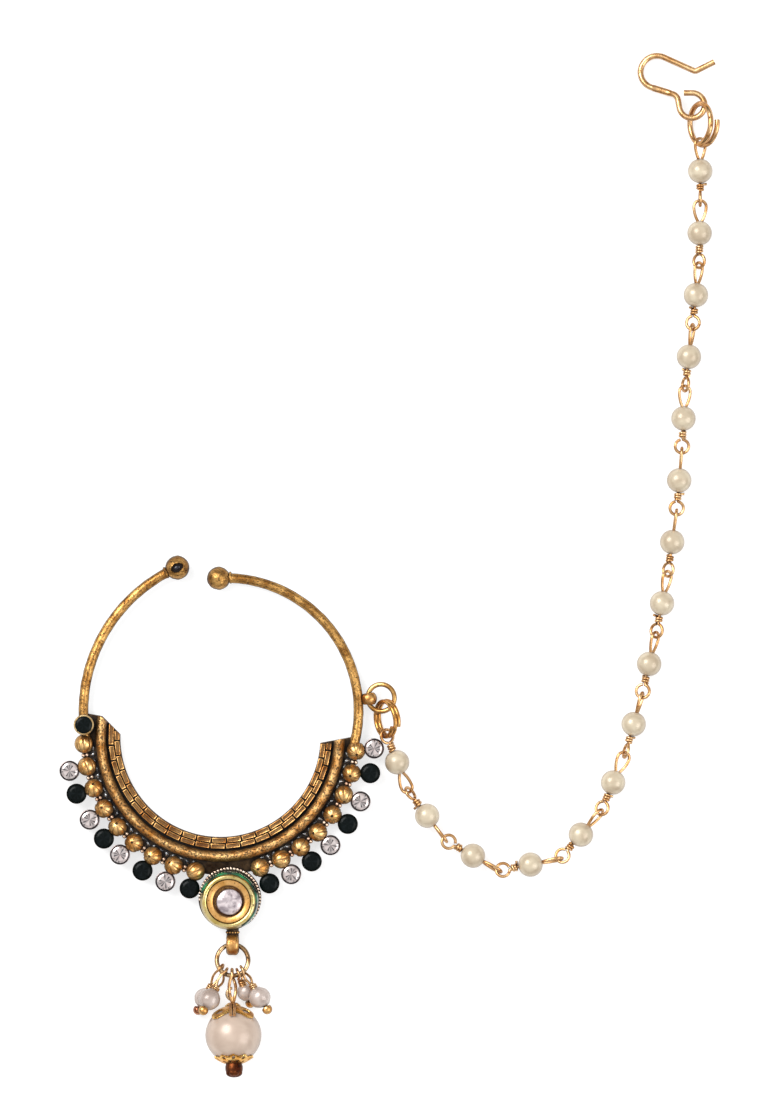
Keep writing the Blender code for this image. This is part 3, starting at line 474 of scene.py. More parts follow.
# the dimple that the bead's hole leaves at each pole
pick(lambda place, _: abs(place.z) > GRANULE * 0.485)
bpy.ops.mesh.inset(thickness=0.04)
scale_by(0.8, 0.8, 0.86)
close_up()
stain(lambda place: 0.9 if place.xy.length < GRANULE * 0.06 else 0.8 if in_flute(place) else 0.0)
granules = []
for side, turns in GRANULE_TURNS.items():
    for number, (lean, across) in enumerate(turns):
        angle = granule_angle(side, number)
        granules.append(Matrix.Translation(polar(GRANULE_RING, angle, GRANULE_Z))
                        @ turned(angle + across)
                        @ turned(90.0 - lean, "X"))
repeat(granules)
piece("granules", GRANULE_GOLD, "antique_gold", crease=50.0)

# The small cast ornament of the channel: a grain between every two granules and a leaf on the sunk
# floor beside each gap. They are part of the casting and only their tips were rubbed.
alone()
bpy.ops.mesh.primitive_uv_sphere_add(segments=14, ring_count=8, radius=0.32)
grains = []
leaves = []
for side, turns in GRANULE_TURNS.items():
    for number in range(len(turns) - 1):
        angle = (granule_angle(side, number) + granule_angle(side, number + 1)) / 2
        for out in (-0.32, 0.30):
            grains.append(Matrix.Translation(polar(GRANULE_RING + out, angle, PLATE_TOP + 0.16))
                          @ turned(angle) @ Matrix.Diagonal((0.9, 1.1, 1, 1)))
        for turn, out, tip in ((0.0, 0.55, 20.0), (3.1, 0.42, -50.0), (-3.0, 0.40, 70.0)):
            leaves.append(Matrix.Translation(polar(RIB_OUTER + out, angle + turn, PLATE_TOP + 0.03))
                          @ turned(angle + tip + 15.0 * (number % 3))
                          @ Matrix.Scale(0.9 if turn else 1.35, 4))
repeat(grains)
# rubbed almost white-gold, with a pink cast
GRAIN_GOLD = antiqued("worn_gold_grains", "D8B094", "F8E2CC", "4A2416",
                      polish=0.30, grain=0.5, patina_and_shade_reach=0.25, bump=0.1)
piece("channel_grains", GRAIN_GOLD, "antique_gold")

alone()
bpy.ops.mesh.primitive_cone_add(vertices=16, radius1=0.68, radius2=0.14, depth=0.7)
bpy.context.object.scale = (1.0, 0.72, 1.0)
bpy.ops.object.transform_apply(scale=True)
edit()
pick(lambda place, _: place.x > 0.3, "VERT")
bpy.ops.transform.translate(value=(0.3, 0, -0.05))
close_up()
soften(0.05)
repeat(leaves)
# grey-blue metal, worn grey on each leaf's ridge and partly a painted highlight there; blue-black
# towards the floor from patina and painted shade
LEAF = antiqued("blackened_leaf_relief", "5C6066", "D0D2D4", "0C0A0C",
                polish=0.24, grain=0.5, patina_and_shade_reach=0.3, bump=0.8, painted_flank_shade=0.5)
piece("channel_leaves", LEAF, "antique_gold")

# The cups of the small stones. Short round collars cast in one with the granules, closed at the
# back, with a thin rim that was pressed over the stone.
CUP = 3.3
CUP_HEIGHT = 2.3
CUP_LIFT = 0.2
CUP_RING = GRANULE_RING + (GRANULE + CUP) / 2 - 0.3
STONE_SEAT = 1.15
# side of the band, place along its row of granules, colour, turn from the granule in degrees
STONES = [
    ("left", 1, "clear", 0.2), ("left", 2, "black", -0.5), ("left", 3, "clear", 0.7),
    ("left", 4, "black", -0.1), ("left", 5, "clear", -1.3), ("left", 6, "black", -0.6),
    ("left", 7, "clear", -0.8), ("left", 8, "black", -1.0), ("right", 7, "black", 1.6),
    ("right", 6, "clear", 0.8), ("right", 5, "black", 0.2), ("right", 4, "clear", -0.2),
    ("right", 3, "black", 0.4), ("right", 2, "clear", 0.4), ("right", 1, "black", 1.9),
    ("right", 0, "clear", 1.6),
]
END_STONE_TURN = 2.1
end_angle = BAND_ENDS["left"][1] + END_STONE_TURN
cups = [("black", polar(GRANULE_RING, end_angle, GRANULE_Z + GRANULE * 0.1))]
for side, number, tint, turn in STONES:
    cups.append((tint, polar(CUP_RING, granule_angle(side, number) + turn, CUP_LIFT)))


def drawn_up(profile, sides=48):
    """A turned shape: a disc drawn up ring by ring through (radius, height) pairs."""
    alone()
    radius, height = profile[0]
    bpy.ops.mesh.primitive_circle_add(vertices=sides, radius=radius, fill_type="NGON",
                                      location=(0, 0, height))
    bpy.ops.object.transform_apply(location=True)
    edit()
    for (near, low), (far, high) in zip(profile, profile[1:]):
        bpy.ops.mesh.extrude_region_move(TRANSFORM_OT_translate={"value": (0, 0, high - low)})
        scale_by(far / near, far / near, 1, high)
    close_up()


# black ones are tipped with a black rim, clear ones with a thin rim of pinkish white metal; only the
# end stone's rim is broad and was rubbed bright
BLACK_RIM = antiqued("blackened_cup", "3A2A1C", "8A6A3E", "0C0807",
                     polish=0.38, grain=0.3, patina_and_shade_reach=0.5, bump=0.6)
WHITE_RIM = antiqued("pale_washed_cup", "5E4A46", "A89894", "20120E",
                     polish=0.28, grain=0.5, patina_and_shade_reach=0.25, bump=0.3)
END_RIM = antiqued("rubbed_end_cup", "A88452", "E8CC98", "1C100A",
                   polish=0.28, grain=0.4, patina_and_shade_reach=0.3, bump=0.3)
end_cup, *row_cups = cups
for kind, rim, mouth, places in (
    ("black", BLACK_RIM, 1.60, [place for tint, place in row_cups if tint == "black"]),
    ("clear", WHITE_RIM, 1.56, [place for tint, place in row_cups if tint == "clear"]),
    ("end", END_RIM, 1.40, [end_cup[1]]),
):
    drawn_up([(1.42, 0.0), (1.50, 0.1), (1.58, 1.2), (1.65, 2.1), (1.65, 2.28), (1.62, 2.34),
              (mouth + 0.01, 2.36), (mouth, 2.2), (0.15, CUP_HEIGHT - STONE_SEAT)], sides=40)
    repeat([Matrix.Translation(place) for place in places])
    piece(f"stone_cups_{kind}", rim, "antique_gold")

# The small stones. Machine-cut chatons of black glass and of clear glass with a foiled back: a flat
# table, two rows of crown facets and a pointed back that sits in the cup.
STONE = 3.16


def cut_stone(table, rows):
    """A stone cut in flat facets: girdle, two crown rows set half a facet apart, and a table."""
    half = math.pi / rows
    drawn_up([(0.12, CUP_HEIGHT - STONE_SEAT + 0.3), (STONE / 2 - 0.05, 2.18), (STONE / 2, 2.26),
              (STONE / 2 - 0.19, 2.38), ((STONE / 2 + table) / 2, 2.50), (table, 2.62)], sides=rows)
    edit()
    pick(lambda place, _: 2.45 < place.z < 2.55, "VERT")
    # an odd row stands half a facet round, so that the crown's faces become kites and triangles
    bpy.ops.transform.rotate(value=half, orient_axis="Z", center_override=(0, 0, 0))
    bpy.ops.mesh.select_all(action="SELECT")
    bpy.ops.mesh.quads_convert_to_tris(quad_method="SHORTEST_DIAGONAL", ngon_method="BEAUTY")
    pick(lambda place, normal: normal.z > 0.99)
    bpy.ops.mesh.dissolve_faces()
    bpy.ops.mesh.poke()
    bpy.ops.mesh.select_all(action="SELECT")
    bpy.ops.mesh.normals_make_consistent(inside=False)
    bpy.ops.object.mode_set(mode="OBJECT")
    return bpy.context.object


def paint_facet_reflections(made, tones):
    """Paints each facet a brightness that stands for what it would mirror: painted reflections."""
    painted_reflection = made.data.attributes.new("painted_reflection", "FLOAT", "FACE")
    for face, value in zip(made.data.polygons, painted_reflection.data):
        around = math.degrees(math.atan2(face.center.y, face.center.x)) % 360.0
        step = round(around / 360.0 * len(tones) * 2 - 0.5)
        value.value = tones[step % len(tones)]
        # painted reflections: the crown's facets below the table take the tones in another order
        if face.center.z < 2.58:
            value.value = tones[(step * 5 + 3) % len(tones)] * 0.8 + 0.1
        # painted reflection: the narrow slope at the girdle is painted black, as if it mirrored the dark
        # of its cup
        if face.center.xy.length > STONE / 2 - 0.16:
            value.value = 0.0


# black glass: nearly no colour of its own, with a cold green-blue painted sheen on its facets
JET, tree, shader, place = new_material("cut_black_glass_painted_reflections")
# painted reflections: each facet is painted a little lighter or darker, as if it caught more or less of
# the room
facet = add(tree, "ShaderNodeAttribute", attribute_name="painted_reflection")
jet_and_painted_reflections = add(tree, "ShaderNodeMix", {0: facet.outputs["Fac"], 7: colour("12181A"),
                                  6: clouded(tree, place, 2.2, "020404", "081110")}, data_type="RGBA")
fill(shader, {"Base Color": jet_and_painted_reflections.outputs[2], "Roughness": 0.24, "IOR": 1.52, "Specular IOR Level": 0.09})

# clear glass over foil: facets painted from near-white to slate as painted reflections, a trace of pink,
# hard sparkle
CLEAR, tree, shader, place = new_material("foiled_clear_glass_painted_reflections")
facet = add(tree, "ShaderNodeAttribute", attribute_name="painted_reflection")
foil = add(tree, "ShaderNodeMix", {0: facet.outputs["Fac"], 6: colour("23232B"),
                                   7: clouded(tree, place, 0.5, "E8E4E2", "D0B8B4")}, data_type="RGBA")
fill(shader, {"Base Color": foil.outputs[2], "Metallic": 0.55, "Roughness": 0.18, "Coat Weight": 0.6,
              "Coat Roughness": 0.03})

# each list gives the painted reflection of the facets round the stone, from 0 for dark to 1 for light
jet_model = cut_stone(0.95, 16)
paint_facet_reflections(jet_model, [0.1, 0.5, 0.0, 0.3, 0.8, 0.15, 0.0, 0.4])
clear_model = cut_stone(1.0, 24)
paint_facet_reflections(clear_model, [0.95, 0.8, 0.1, 1.0, 0.7, 0.9, 0.85, 0.25, 1.0, 0.6, 0.95, 0.1,
                      0.8, 1.0, 0.75, 0.9, 0.15, 0.85, 1.0, 0.65, 0.3, 0.95, 0.8, 1.0])
# every stone was set down turned another way
STONE_TURN = 37.0
number = {"black": 0, "clear": 0}
for tint, place in cups:
    number[tint] += 1
    model = jet_model if tint == "black" else clear_model
    alone(copy_of(model, Matrix.Translation(place) @ turned(STONE_TURN * number[tint])))
    piece(f"{tint}_chaton_{number[tint]:02d}", JET if tint == "black" else CLEAR, f"{tint}_glass",
          f"{tint}_stone_{number[tint]:02d}", crease=1.0)
bpy.data.objects.remove(jet_model)
bpy.data.objects.remove(clear_model)

# The open hoop. Two cast arms of round wire rise from the band's ends, bent to a circle, and end in
# balls. The left ball has a hollow for a stone in its face, black inside.
HOOP_WIRE = 1.6
BALL = {"left": 3.9, "right": 3.75}
HOOP_Z = 1.95
BALL_TURN = math.radians(24.0)
# arm, distance and angle of its ball from the band's centre, radius of its bend, turn of its foot
ARMS = {
    "left": {"reach": 28.45, "ball": 104.2, "bend": 25.5, "foot": 5.9},
    "right": {"reach": 25.85, "ball": 90.6, "bend": 21.6, "foot": 1.2},
}


def arm_bend(side):
    """Foot, tip and centre of an arm's bend."""
    arm = ARMS[side]
    foot = polar(BAND_OUTER - HOOP_WIRE / 4, BAND_ENDS[side][1] + arm["foot"])
    tip = polar(arm["reach"], arm["ball"])
    chord = tip - foot
    inward = Vector((-chord.y, chord.x, 0)).normalized() * (-1 if side == "left" else 1)
    depth = math.sqrt(arm["bend"] ** 2 - (chord.length / 2) ** 2)
    return foot, tip, (foot + tip) / 2 + inward * depth


# the thin arms stand free, so the cloth rubbed them less evenly: browner, streaked and pitted
HOOP_GOLD = antiqued("streaked_gold_on_brass_wire", "976730", "E6B268", "180C06",
                     polish=0.34, grain=0.30, patina_and_shade_reach=0.7, bump=0.9, painted_flank_shade=0.95, pits_at=0.47)
for side in ARMS:
    foot, tip, bend_centre = arm_bend(side)
    out = foot - bend_centre
    first = math.degrees(math.atan2(out.y, out.x))
    swing = out.angle(tip - bend_centre) * (-1 if side == "left" else 1)
    under = math.copysign(0.7 * HOOP_WIRE / ARMS[side]["bend"], swing)
    oval_section(ARMS[side]["bend"], HOOP_Z, HOOP_WIRE / 2, HOOP_WIRE / 2, 20)
    bpy.context.object.data.transform(Matrix.Rotation(math.radians(first) - under, 4, "Z"))
    edit()
    bpy.ops.mesh.spin(steps=110, angle=swing + under, center=(0, 0, 0), axis=(0, 0, -1))
    close_up()
    unevenly(0.10)
    bpy.context.object.location = bend_centre
    piece(f"hoop_arm_{side}", HOOP_GOLD, "antique_gold")

    alone()
    bpy.ops.mesh.primitive_uv_sphere_add(segments=96, ring_count=60, radius=BALL[side] / 2)
    edit()
    if side == "left":
        pick(lambda place, _: place.z > 0 and (place.x / 1.12) ** 2 + (place.y / 0.80) ** 2 < 1.0)
        bpy.ops.mesh.inset(thickness=0.05)
        bpy.ops.mesh.extrude_region_move(TRANSFORM_OT_translate={"value": (0, 0, -0.6)})
        scale_by(0.86, 0.86, 0.3, BALL[side] / 2 - 0.6)
    close_up()
    inside = BALL[side] * 0.485
    stain(lambda place: 1.0 if side == "left" and place.z > 0 and place.length < inside else 0.0)
    unevenly(0.16)
    bpy.context.object.rotation_euler = (0, 0, BALL_TURN)
    bpy.context.object.location = tip + Vector((0, 0, HOOP_Z))
    piece(f"hoop_ball_{side}", HOOP_GOLD, "antique_gold", crease=50.0)

    # a narrow collar was filed where each arm runs into its ball
    way = Vector((bend_centre.y - tip.y, tip.x - bend_centre.x, 0)).normalized()
    way *= -1 if (foot - tip).dot(way) < 0 else 1
    drawn_up([(0.7, 0.0), (0.92, 0.05), (1.0, 0.22), (0.92, 0.4), (0.7, 0.46)], sides=28)
    bpy.context.object.matrix_world = (Matrix.Translation(tip + way * (BALL[side] / 2 - 0.15)
                                                          + Vector((0, 0, HOOP_Z)))
                                       @ way.to_track_quat("Z", "Y").to_matrix().to_4x4())
    piece(f"hoop_collar_{side}", HOOP_GOLD, "antique_gold")

# the glint in the left ball's hollow: a chip of grey glass, set deep
alone()
bpy.ops.mesh.primitive_ico_sphere_add(subdivisions=2, radius=0.5)
edit()
pick(lambda place, _: place.z > 0.2, "VERT")
scale_by(1, 1, 0.5)
close_up()
bpy.context.object.scale = (1.1, 0.62, 0.6)
bpy.context.object.rotation_euler = (0, 0, BALL_TURN)
bpy.context.object.location = polar(ARMS["left"]["reach"], ARMS["left"]["ball"],
                                    HOOP_Z + BALL["left"] / 2 - 0.62)
piece("hoop_ball_chip", CLEAR, "antique_gold", crease=10.0)

# The ear. A small pierced ball soldered to the right arm, which carries the ring of the hair chain.
EAR = 2.6
EAR_RISE = 6.47
SIDE_RING = 5.2
SIDE_WIRE = 0.8
LINK_GAP = 0.35
LAP = 0.3
foot, tip, bend_centre = arm_bend("right")
ear_turn = math.asin((foot.y + EAR_RISE - bend_centre.y) / ARMS["right"]["bend"])
ear_out = Vector((math.cos(ear_turn), math.sin(ear_turn), 0))
ear_start = bend_centre + ear_out * (ARMS["right"]["bend"] + HOOP_WIRE / 2)
ring_bend = (SIDE_RING - SIDE_WIRE) / 2
sag = ring_bend - math.sqrt(ring_bend ** 2 - (0.42 * EAR) ** 2)
ear_hole = SIDE_WIRE + 2 * LINK_GAP + sag
hole_place = ear_start + ear_out * (ear_hole / 2 + LAP / 6) + Vector((0, 0, HOOP_Z))
alone()
bpy.ops.mesh.primitive_cylinder_add(vertices=24, radius=ear_hole / 2, depth=2 * EAR, location=hole_place,
                                    rotation=(math.pi / 2, 0, ear_turn))
drill = bpy.context.object
ear_place = ear_start + ear_out * (EAR / 2 - LAP) + Vector((0, 0, HOOP_Z))
bpy.ops.mesh.primitive_uv_sphere_add(segments=28, ring_count=18, radius=EAR / 2, location=ear_place)
alone(bpy.context.object)
finish_with("BOOLEAN", operation="DIFFERENCE", solver="EXACT", object=drill)
bpy.data.objects.remove(drill)
piece("side_ear", ANTIQUE_GOLD, "antique_gold")

# The base of the kundan setting and the lug below it, both cast in one with the band. The base is a
# flat disc, black on top; 37 small square grains stand along its edge and catch the light.
KUNDAN_RING = 26.3
KUNDAN_TURN = 273.4
BASE = 10.2
BASE_HEIGHT = 2.3
base_place = polar(KUNDAN_RING, KUNDAN_TURN)
drawn_up([(4.9, 0.0), (BASE / 2, 0.25), (BASE / 2, 2.0), (4.95, 2.2), (4.6, BASE_HEIGHT)], sides=64)
bpy.context.object.location = base_place
piece("kundan_base", BLACKENED, "antique_gold")

alone()
bpy.ops.mesh.primitive_cube_add(size=0.37)
edit()
bpy.ops.mesh.bevel(offset=0.10, segments=2, affect="EDGES")
close_up()
EDGE_GRAINS = [182.0 - 6.3 * k for k in range(37)]
repeat([Matrix.Translation(base_place + polar(4.88, around, 2.28)) @ turned(around)
        for around in EDGE_GRAINS])
piece("kundan_grains", GRAIN_GOLD, "antique_gold")

# the lug: an eye pierced from side to side for the drop ring, on a short neck with a beaded collar
DROP_RING = 5.86
DROP_WIRE = 0.75
LUG_WIDTH = 2.05
LUG_WALL = 0.75
LUG_NECK = 1.5
drop_radius = (DROP_RING - DROP_WIRE) / 2
lug_sag = drop_radius - math.sqrt(drop_radius ** 2 - (LUG_WIDTH / 2) ** 2)
lug_hole = DROP_WIRE + 2 * (LINK_GAP + lug_sag)
lug_radius = lug_hole / 2 + LUG_WALL
lug_place = polar(KUNDAN_RING + BASE / 2 + LUG_NECK + lug_hole / 2, KUNDAN_TURN, lug_radius)
alone()
bpy.ops.mesh.primitive_cylinder_add(vertices=40, radius=lug_radius, depth=LUG_WIDTH, location=lug_place,
                                    rotation=(0, math.pi / 2, 0))
bpy.ops.object.transform_apply(location=True, rotation=True)
edit()
pick(lambda _, normal: abs(normal.x) > 0.9)
bpy.ops.mesh.inset(thickness=LUG_WALL)
bpy.ops.mesh.bridge_edge_loops()
close_up()
edit()
pick(lambda place, _: abs(place.x - lug_place.x) > 0.9
     and (place.yz - lug_place.yz).length > lug_radius - 0.1, "EDGE")
bpy.ops.mesh.bevel(offset=0.55, segments=6, affect="EDGES")
close_up()
soften(0.12, angle_limit=math.radians(50.0))
unevenly(0.22)
piece("drop_lug", ANTIQUE_GOLD, "antique_gold")

alone()
collar_place = Vector((lug_place.x, base_place.y - BASE / 2 - 0.25, 1.1))
bpy.ops.mesh.primitive_cylinder_add(vertices=32, radius=1.0, depth=1.7, location=collar_place,
                                    rotation=(math.pi / 2, 0, 0))
edit()
pick(lambda _, normal: abs(normal.z) > 0.9)
bpy.ops.mesh.inset(thickness=0.18, depth=0.15)
close_up()
piece("lug_neck", BLACKENED, "antique_gold")
alone()
bpy.ops.mesh.primitive_ico_sphere_add(subdivisions=2, radius=0.17)
bead_spots = [polar(1.0, turn) for turn in range(-10, 191, 25)]
repeat([Matrix.Translation(collar_place + Vector((spot.x, -0.2, spot.y)))
        @ Matrix.Diagonal((1, 1.2, 1, 1)) for spot in bead_spots])
piece("lug_beads", ANTIQUE_GOLD, "antique_gold")

# The kundan setting. A flared cup of gilt foil burnished round a flat glass, with a polished lip, a
# stepped mouth and green enamel fired round the foot of the wall.
CUP_SHIFT = Vector((-0.15, -0.35, 0))
CUP_TOP = 5.25
kundan_place = base_place + CUP_SHIFT
# burnished gilt: pale yellow, nearly free of pits
GILT = antiqued("burnished_gilt_lip", "CDB264", "EBD79A", "4A3A14",
                polish=0.22, grain=0.55, patina_and_shade_reach=0.10, bump=0.12, painted_flank_shade=0.45)
drawn_up([(4.62, 2.3), (4.66, 2.7), (4.5, 3.6), (4.36, 4.5), (4.28, 5.0), (4.16, 5.18), (3.98, CUP_TOP),
          (3.78, 5.24), (3.66, 5.16), (3.60, 5.0), (3.58, 3.3), (0.3, 3.2)], sides=96)
bpy.context.object.location = kundan_place
piece("kundan_lip", GILT, "enamelled_gold", "kundan_cup")

# the step inside the lip: a warmer, orange gold with a satin face
WARM_GILT = antiqued("satin_gilt_step", "D39A50", "F0BC78", "4A2408",
                     polish=0.32, grain=0.4, patina_and_shade_reach=0.9, bump=0.2, painted_flank_shade=0.5)
drawn_up([(3.40, 3.1), (3.53, 3.2), (3.53, 4.74), (3.46, 4.82), (2.72, 4.78), (2.60, 4.70),
          (2.54, 4.4), (2.42, 3.9), (2.40, 3.5), (0.3, 3.4)], sides=96)
bpy.context.object.location = kundan_place
piece("kundan_step", WARM_GILT, "enamelled_gold", "kundan_cup")

# enamel: dark sea green with brighter leaf green where it lies thin
ENAMEL, tree, shader, place = new_material("fired_green_enamel")
green = clouded(tree, place, 1.9, "082E28", "168A54", edges=(0.42, 0.62), Detail=3.0)
fill(shader, {"Base Color": green, "Roughness": 0.22, "Coat Weight": 1.0, "Coat Roughness": 0.06})
ENAMEL_START = -62.0
ENAMEL_SWEEP = 225.0
oval_section(4.42, 3.1, 0.42, 1.3, 16)
bpy.context.object.data.transform(turned(ENAMEL_START))
edit()
bpy.ops.mesh.spin(steps=70, angle=math.radians(ENAMEL_SWEEP), center=(0, 0, 0), axis=(0, 0, -1))
pick(lambda place, _: place.z < 2.35, "VERT")
bpy.ops.transform.translate(value=(0, 0, 0.3))
close_up()
unevenly(0.12)
bpy.context.object.location = kundan_place
piece("kundan_enamel", ENAMEL, "enamelled_gold", "kundan_cup")

# the glass in it: flat-topped, ground by hand, over silver foil; milky pinkish white, grey clouds
FOILED, tree, shader, place = new_material("foiled_kundan_glass")
milk = clouded(tree, place, 1.3, "8E8288", "DED2D4", edges=(0.36, 0.62), Detail=4.0, Distortion=1.2)
fill(shader, {"Base Color": milk, "Metallic": 0.25, "Roughness": 0.22, "Coat Weight": 0.8,
              "Coat Roughness": 0.04})
drawn_up([(1.9, 3.56), (2.1, 3.66), (2.12, 3.9), (2.0, 4.1), (1.5, 4.28), (0.9, 4.36), (0.2, 4.38)],
         sides=24)
unevenly(0.2)
bpy.context.object.location = kundan_place + Vector((0.14, -0.14, 0.0))
piece("kundan_glass", FOILED, "kundan_glass", "kundan_stone", crease=22.0)

# The drop ring. A plain jump ring of round brass wire, plated and a little dulled, that hangs in the
# lug and carries every part of the drop. Its cut ends are pinched shut.
DROP_SLOPE = 12.0


def direction(heading, pitch=0.0):
    """A unit vector by its heading on the surface and its climb, in degrees."""
    level = math.cos(math.radians(pitch))
    return Vector((level * math.cos(math.radians(heading)), level * math.sin(math.radians(heading)),
                   math.sin(math.radians(pitch))))


def axes(x_way, z_way, place=(0, 0, 0)):
    """Carries X and Z to these directions and the origin to a place."""
    x = Vector(x_way).normalized()
    y = Vector(z_way).cross(x).normalized()
    return Matrix.Translation(place) @ Matrix((x, y, x.cross(y))).transposed().to_4x4()


def round_turns(radius, count, first=0.0, sweep=360.0, rise=0.0):
    """Points round Z from the low end, turning left; a rise makes them climb as a coil."""
    points = []
    for k in range(count):
        share = k / (count - 1)
        turn = math.radians(first + sweep * share - 90.0)
        points.append(Vector((radius * math.cos(turn), radius * math.sin(turn), rise * share)))
    return points


def bent_wire(route, thickness, flat=()):
    """Round wire bent along a route, its ends cut square; flattened points swell sideways."""
    alone()
    bpy.ops.curve.primitive_nurbs_path_add()
    path = bpy.context.object.data
    path.splines.clear()
    line = path.splines.new("POLY")
    line.points.add(len(route) - 1)
    for k, place in enumerate(route):
        line.points[k].co = (*place, 1.0)
        line.points[k].radius = 1.1 if k in flat else 1.0
    path.dimensions = "3D"
    path.twist_mode = "MINIMUM"
    path.bevel_depth = thickness / 2
    path.bevel_resolution = 3
    path.use_fill_caps = True
    bpy.ops.object.convert(target="MESH")
    edit()
    close_up()


def jump_ring(diameter, thickness, place):
    """A ring of round wire with a hair-wide cut."""
    radius = (diameter - thickness) / 2
    bent_wire(round_turns(radius, 73, first=40.0, sweep=358.5), thickness)
    bpy.context.object.matrix_world = place


drop_centre = lug_place + direction(270.0, DROP_SLOPE) * drop_radius
drop_place = Matrix.Translation(drop_centre) @ turned(-DROP_SLOPE, "X")
# dulled wire: brown in the hollows, pale where it is rubbed
DULL_WIRE = antiqued("dulled_gold_wire", "8E6A44", "E4C498", "3A2412",
                     polish=0.26, grain=0.9, patina_and_shade_reach=0.5, bump=0.25)
jump_ring(DROP_RING, DROP_WIRE, drop_place)
piece("drop_jump_ring", DULL_WIRE, "antique_gold", "drop_ring", crease=50.0)

# The main pearl of the drop. A drilled imitation pearl: a glass ball dipped in cream pearl lacquer.
PEARL = 9.1
PIN_WIRE = 0.6
LOOP_STRETCH = 2.6
SEAT = 0.25
CAP_WALL = 0.35
NECK = 0.7
# where the pin hangs on the drop ring, and its heading
PIN_SPOT = 269.0
PIN_HEADING = 271.4


def pearly_with_painted_rim(name, shade, light, polish):
    """Pearl lacquer on a glass or plastic core: a soft body colour with painted shade on the rim, a
    satin coat, faint clouds.
    """
    made, tree, shader, place = new_material(name)
    body = clouded(tree, place, 2.6, shade, light, edges=(0.35, 0.65), Detail=2.0, Distortion=0.6)
    # painted shade: the rim is painted darker than the middle, by how far the surface turns from the
    # view
    rim = add(tree, "ShaderNodeMapRange", {"Value": add(tree, "ShaderNodeLayerWeight").outputs["Facing"],
                                           "From Min": 0.45, "From Max": 1.0, "To Max": 0.8})
    body = add(tree, "ShaderNodeMix", {0: rim.outputs[0], 6: body, 7: colour("7C6450")},
               data_type="RGBA")
    # the lacquer's faint orange peel, a few tenths of a millimetre across
    peel = add(tree, "ShaderNodeTexNoise", {"Vector": place, "Scale": 1 / (0.7 * MM), "Detail": 2.0})
    skin = add(tree, "ShaderNodeBump", {"Height": peel.outputs[0], "Distance": 0.02 * MM,
                                        "Strength": 0.25})
    fill(shader, {"Base Color": body.outputs[2], "Normal": skin.outputs[0], "Metallic": 0.12,
                  "Roughness": polish, "IOR": 1.56, "Coat Weight": 0.16, "Coat Roughness": 0.12})
    return made


def drilled_pearl(size, segments=32):
    """A ball with a drilled hole, dimpled at both ends, its axis along X."""
    alone()
    bpy.ops.mesh.primitive_uv_sphere_add(segments=segments, ring_count=segments * 2 // 3,
                                         radius=size / 2, rotation=(0, math.pi / 2, 0))
    bpy.ops.object.transform_apply(rotation=True)
    edit()
    pick(lambda place, _: abs(place.x) > 0.985 * size / 2)
    bpy.ops.mesh.inset(thickness=0.06 * size)
    scale_by(0.9, 1, 1)
    close_up()


# cream lacquer with a breath of pink
CREAM_PEARL = pearly_with_painted_rim("cream_pearl_lacquer", "C4AE9D", "D0BBAA", polish=0.34)


def on_drop_ring(turn):
    """Point of the drop ring's wire and the wire's direction there."""
    spot = math.radians(turn)
    way = Vector((-math.sin(spot), math.cos(spot), 0))
    return drop_place @ polar(drop_radius, turn), drop_place.to_3x3() @ way


def hanging_place(point, wire_way, heading, reach, height):
    """Axes of a pin that hangs at this point; X runs down it to a pearl at this height."""
    down = direction(heading, math.degrees(math.asin((height - point.z) / reach)))
    across = wire_way - down * wire_way.dot(down)
    return axes(down, down.cross(across), point)


main_point, main_way = on_drop_ring(PIN_SPOT)
main_loop = (DROP_WIRE + PIN_WIRE) / 2 + LINK_GAP
main_loop_end = main_loop + LOOP_STRETCH
main_at = main_loop_end + NECK + CAP_WALL + 2 * SEAT + PEARL / 2
main_place = hanging_place(main_point, main_way, PIN_HEADING, main_at, PEARL / 2)
pearl_middle = main_place @ Matrix.Translation((main_at, 0, 0))
drilled_pearl(PEARL, segments=64)
bpy.context.object.matrix_world = pearl_middle
piece("drop_pearl", CREAM_PEARL, "cream_pearl", "main_pearl", crease=60.0)

# The pearl's two caps. Stamped from thin gilt brass sheet, their pierced petals domed to lie close on
# the pearl: bright yellow gold with brown in the piercings.
CAP_GOLD = antiqued("stamped_gilt_caps", "D6943C", "F8CE80", "5A300C",
                    polish=0.24, grain=0.5, patina_and_shade_reach=0.4, bump=0.25, painted_flank_shade=0.2)
dome = PEARL / 2 + 0.04


def at_pole(end, height=0.0):
    """Z runs down the pin out of the pearl's lower pole (1), or up out of its upper one (-1)."""
    return pearl_middle @ turned(90.0 * end, "Y") @ Matrix.Translation((0, 0, height))


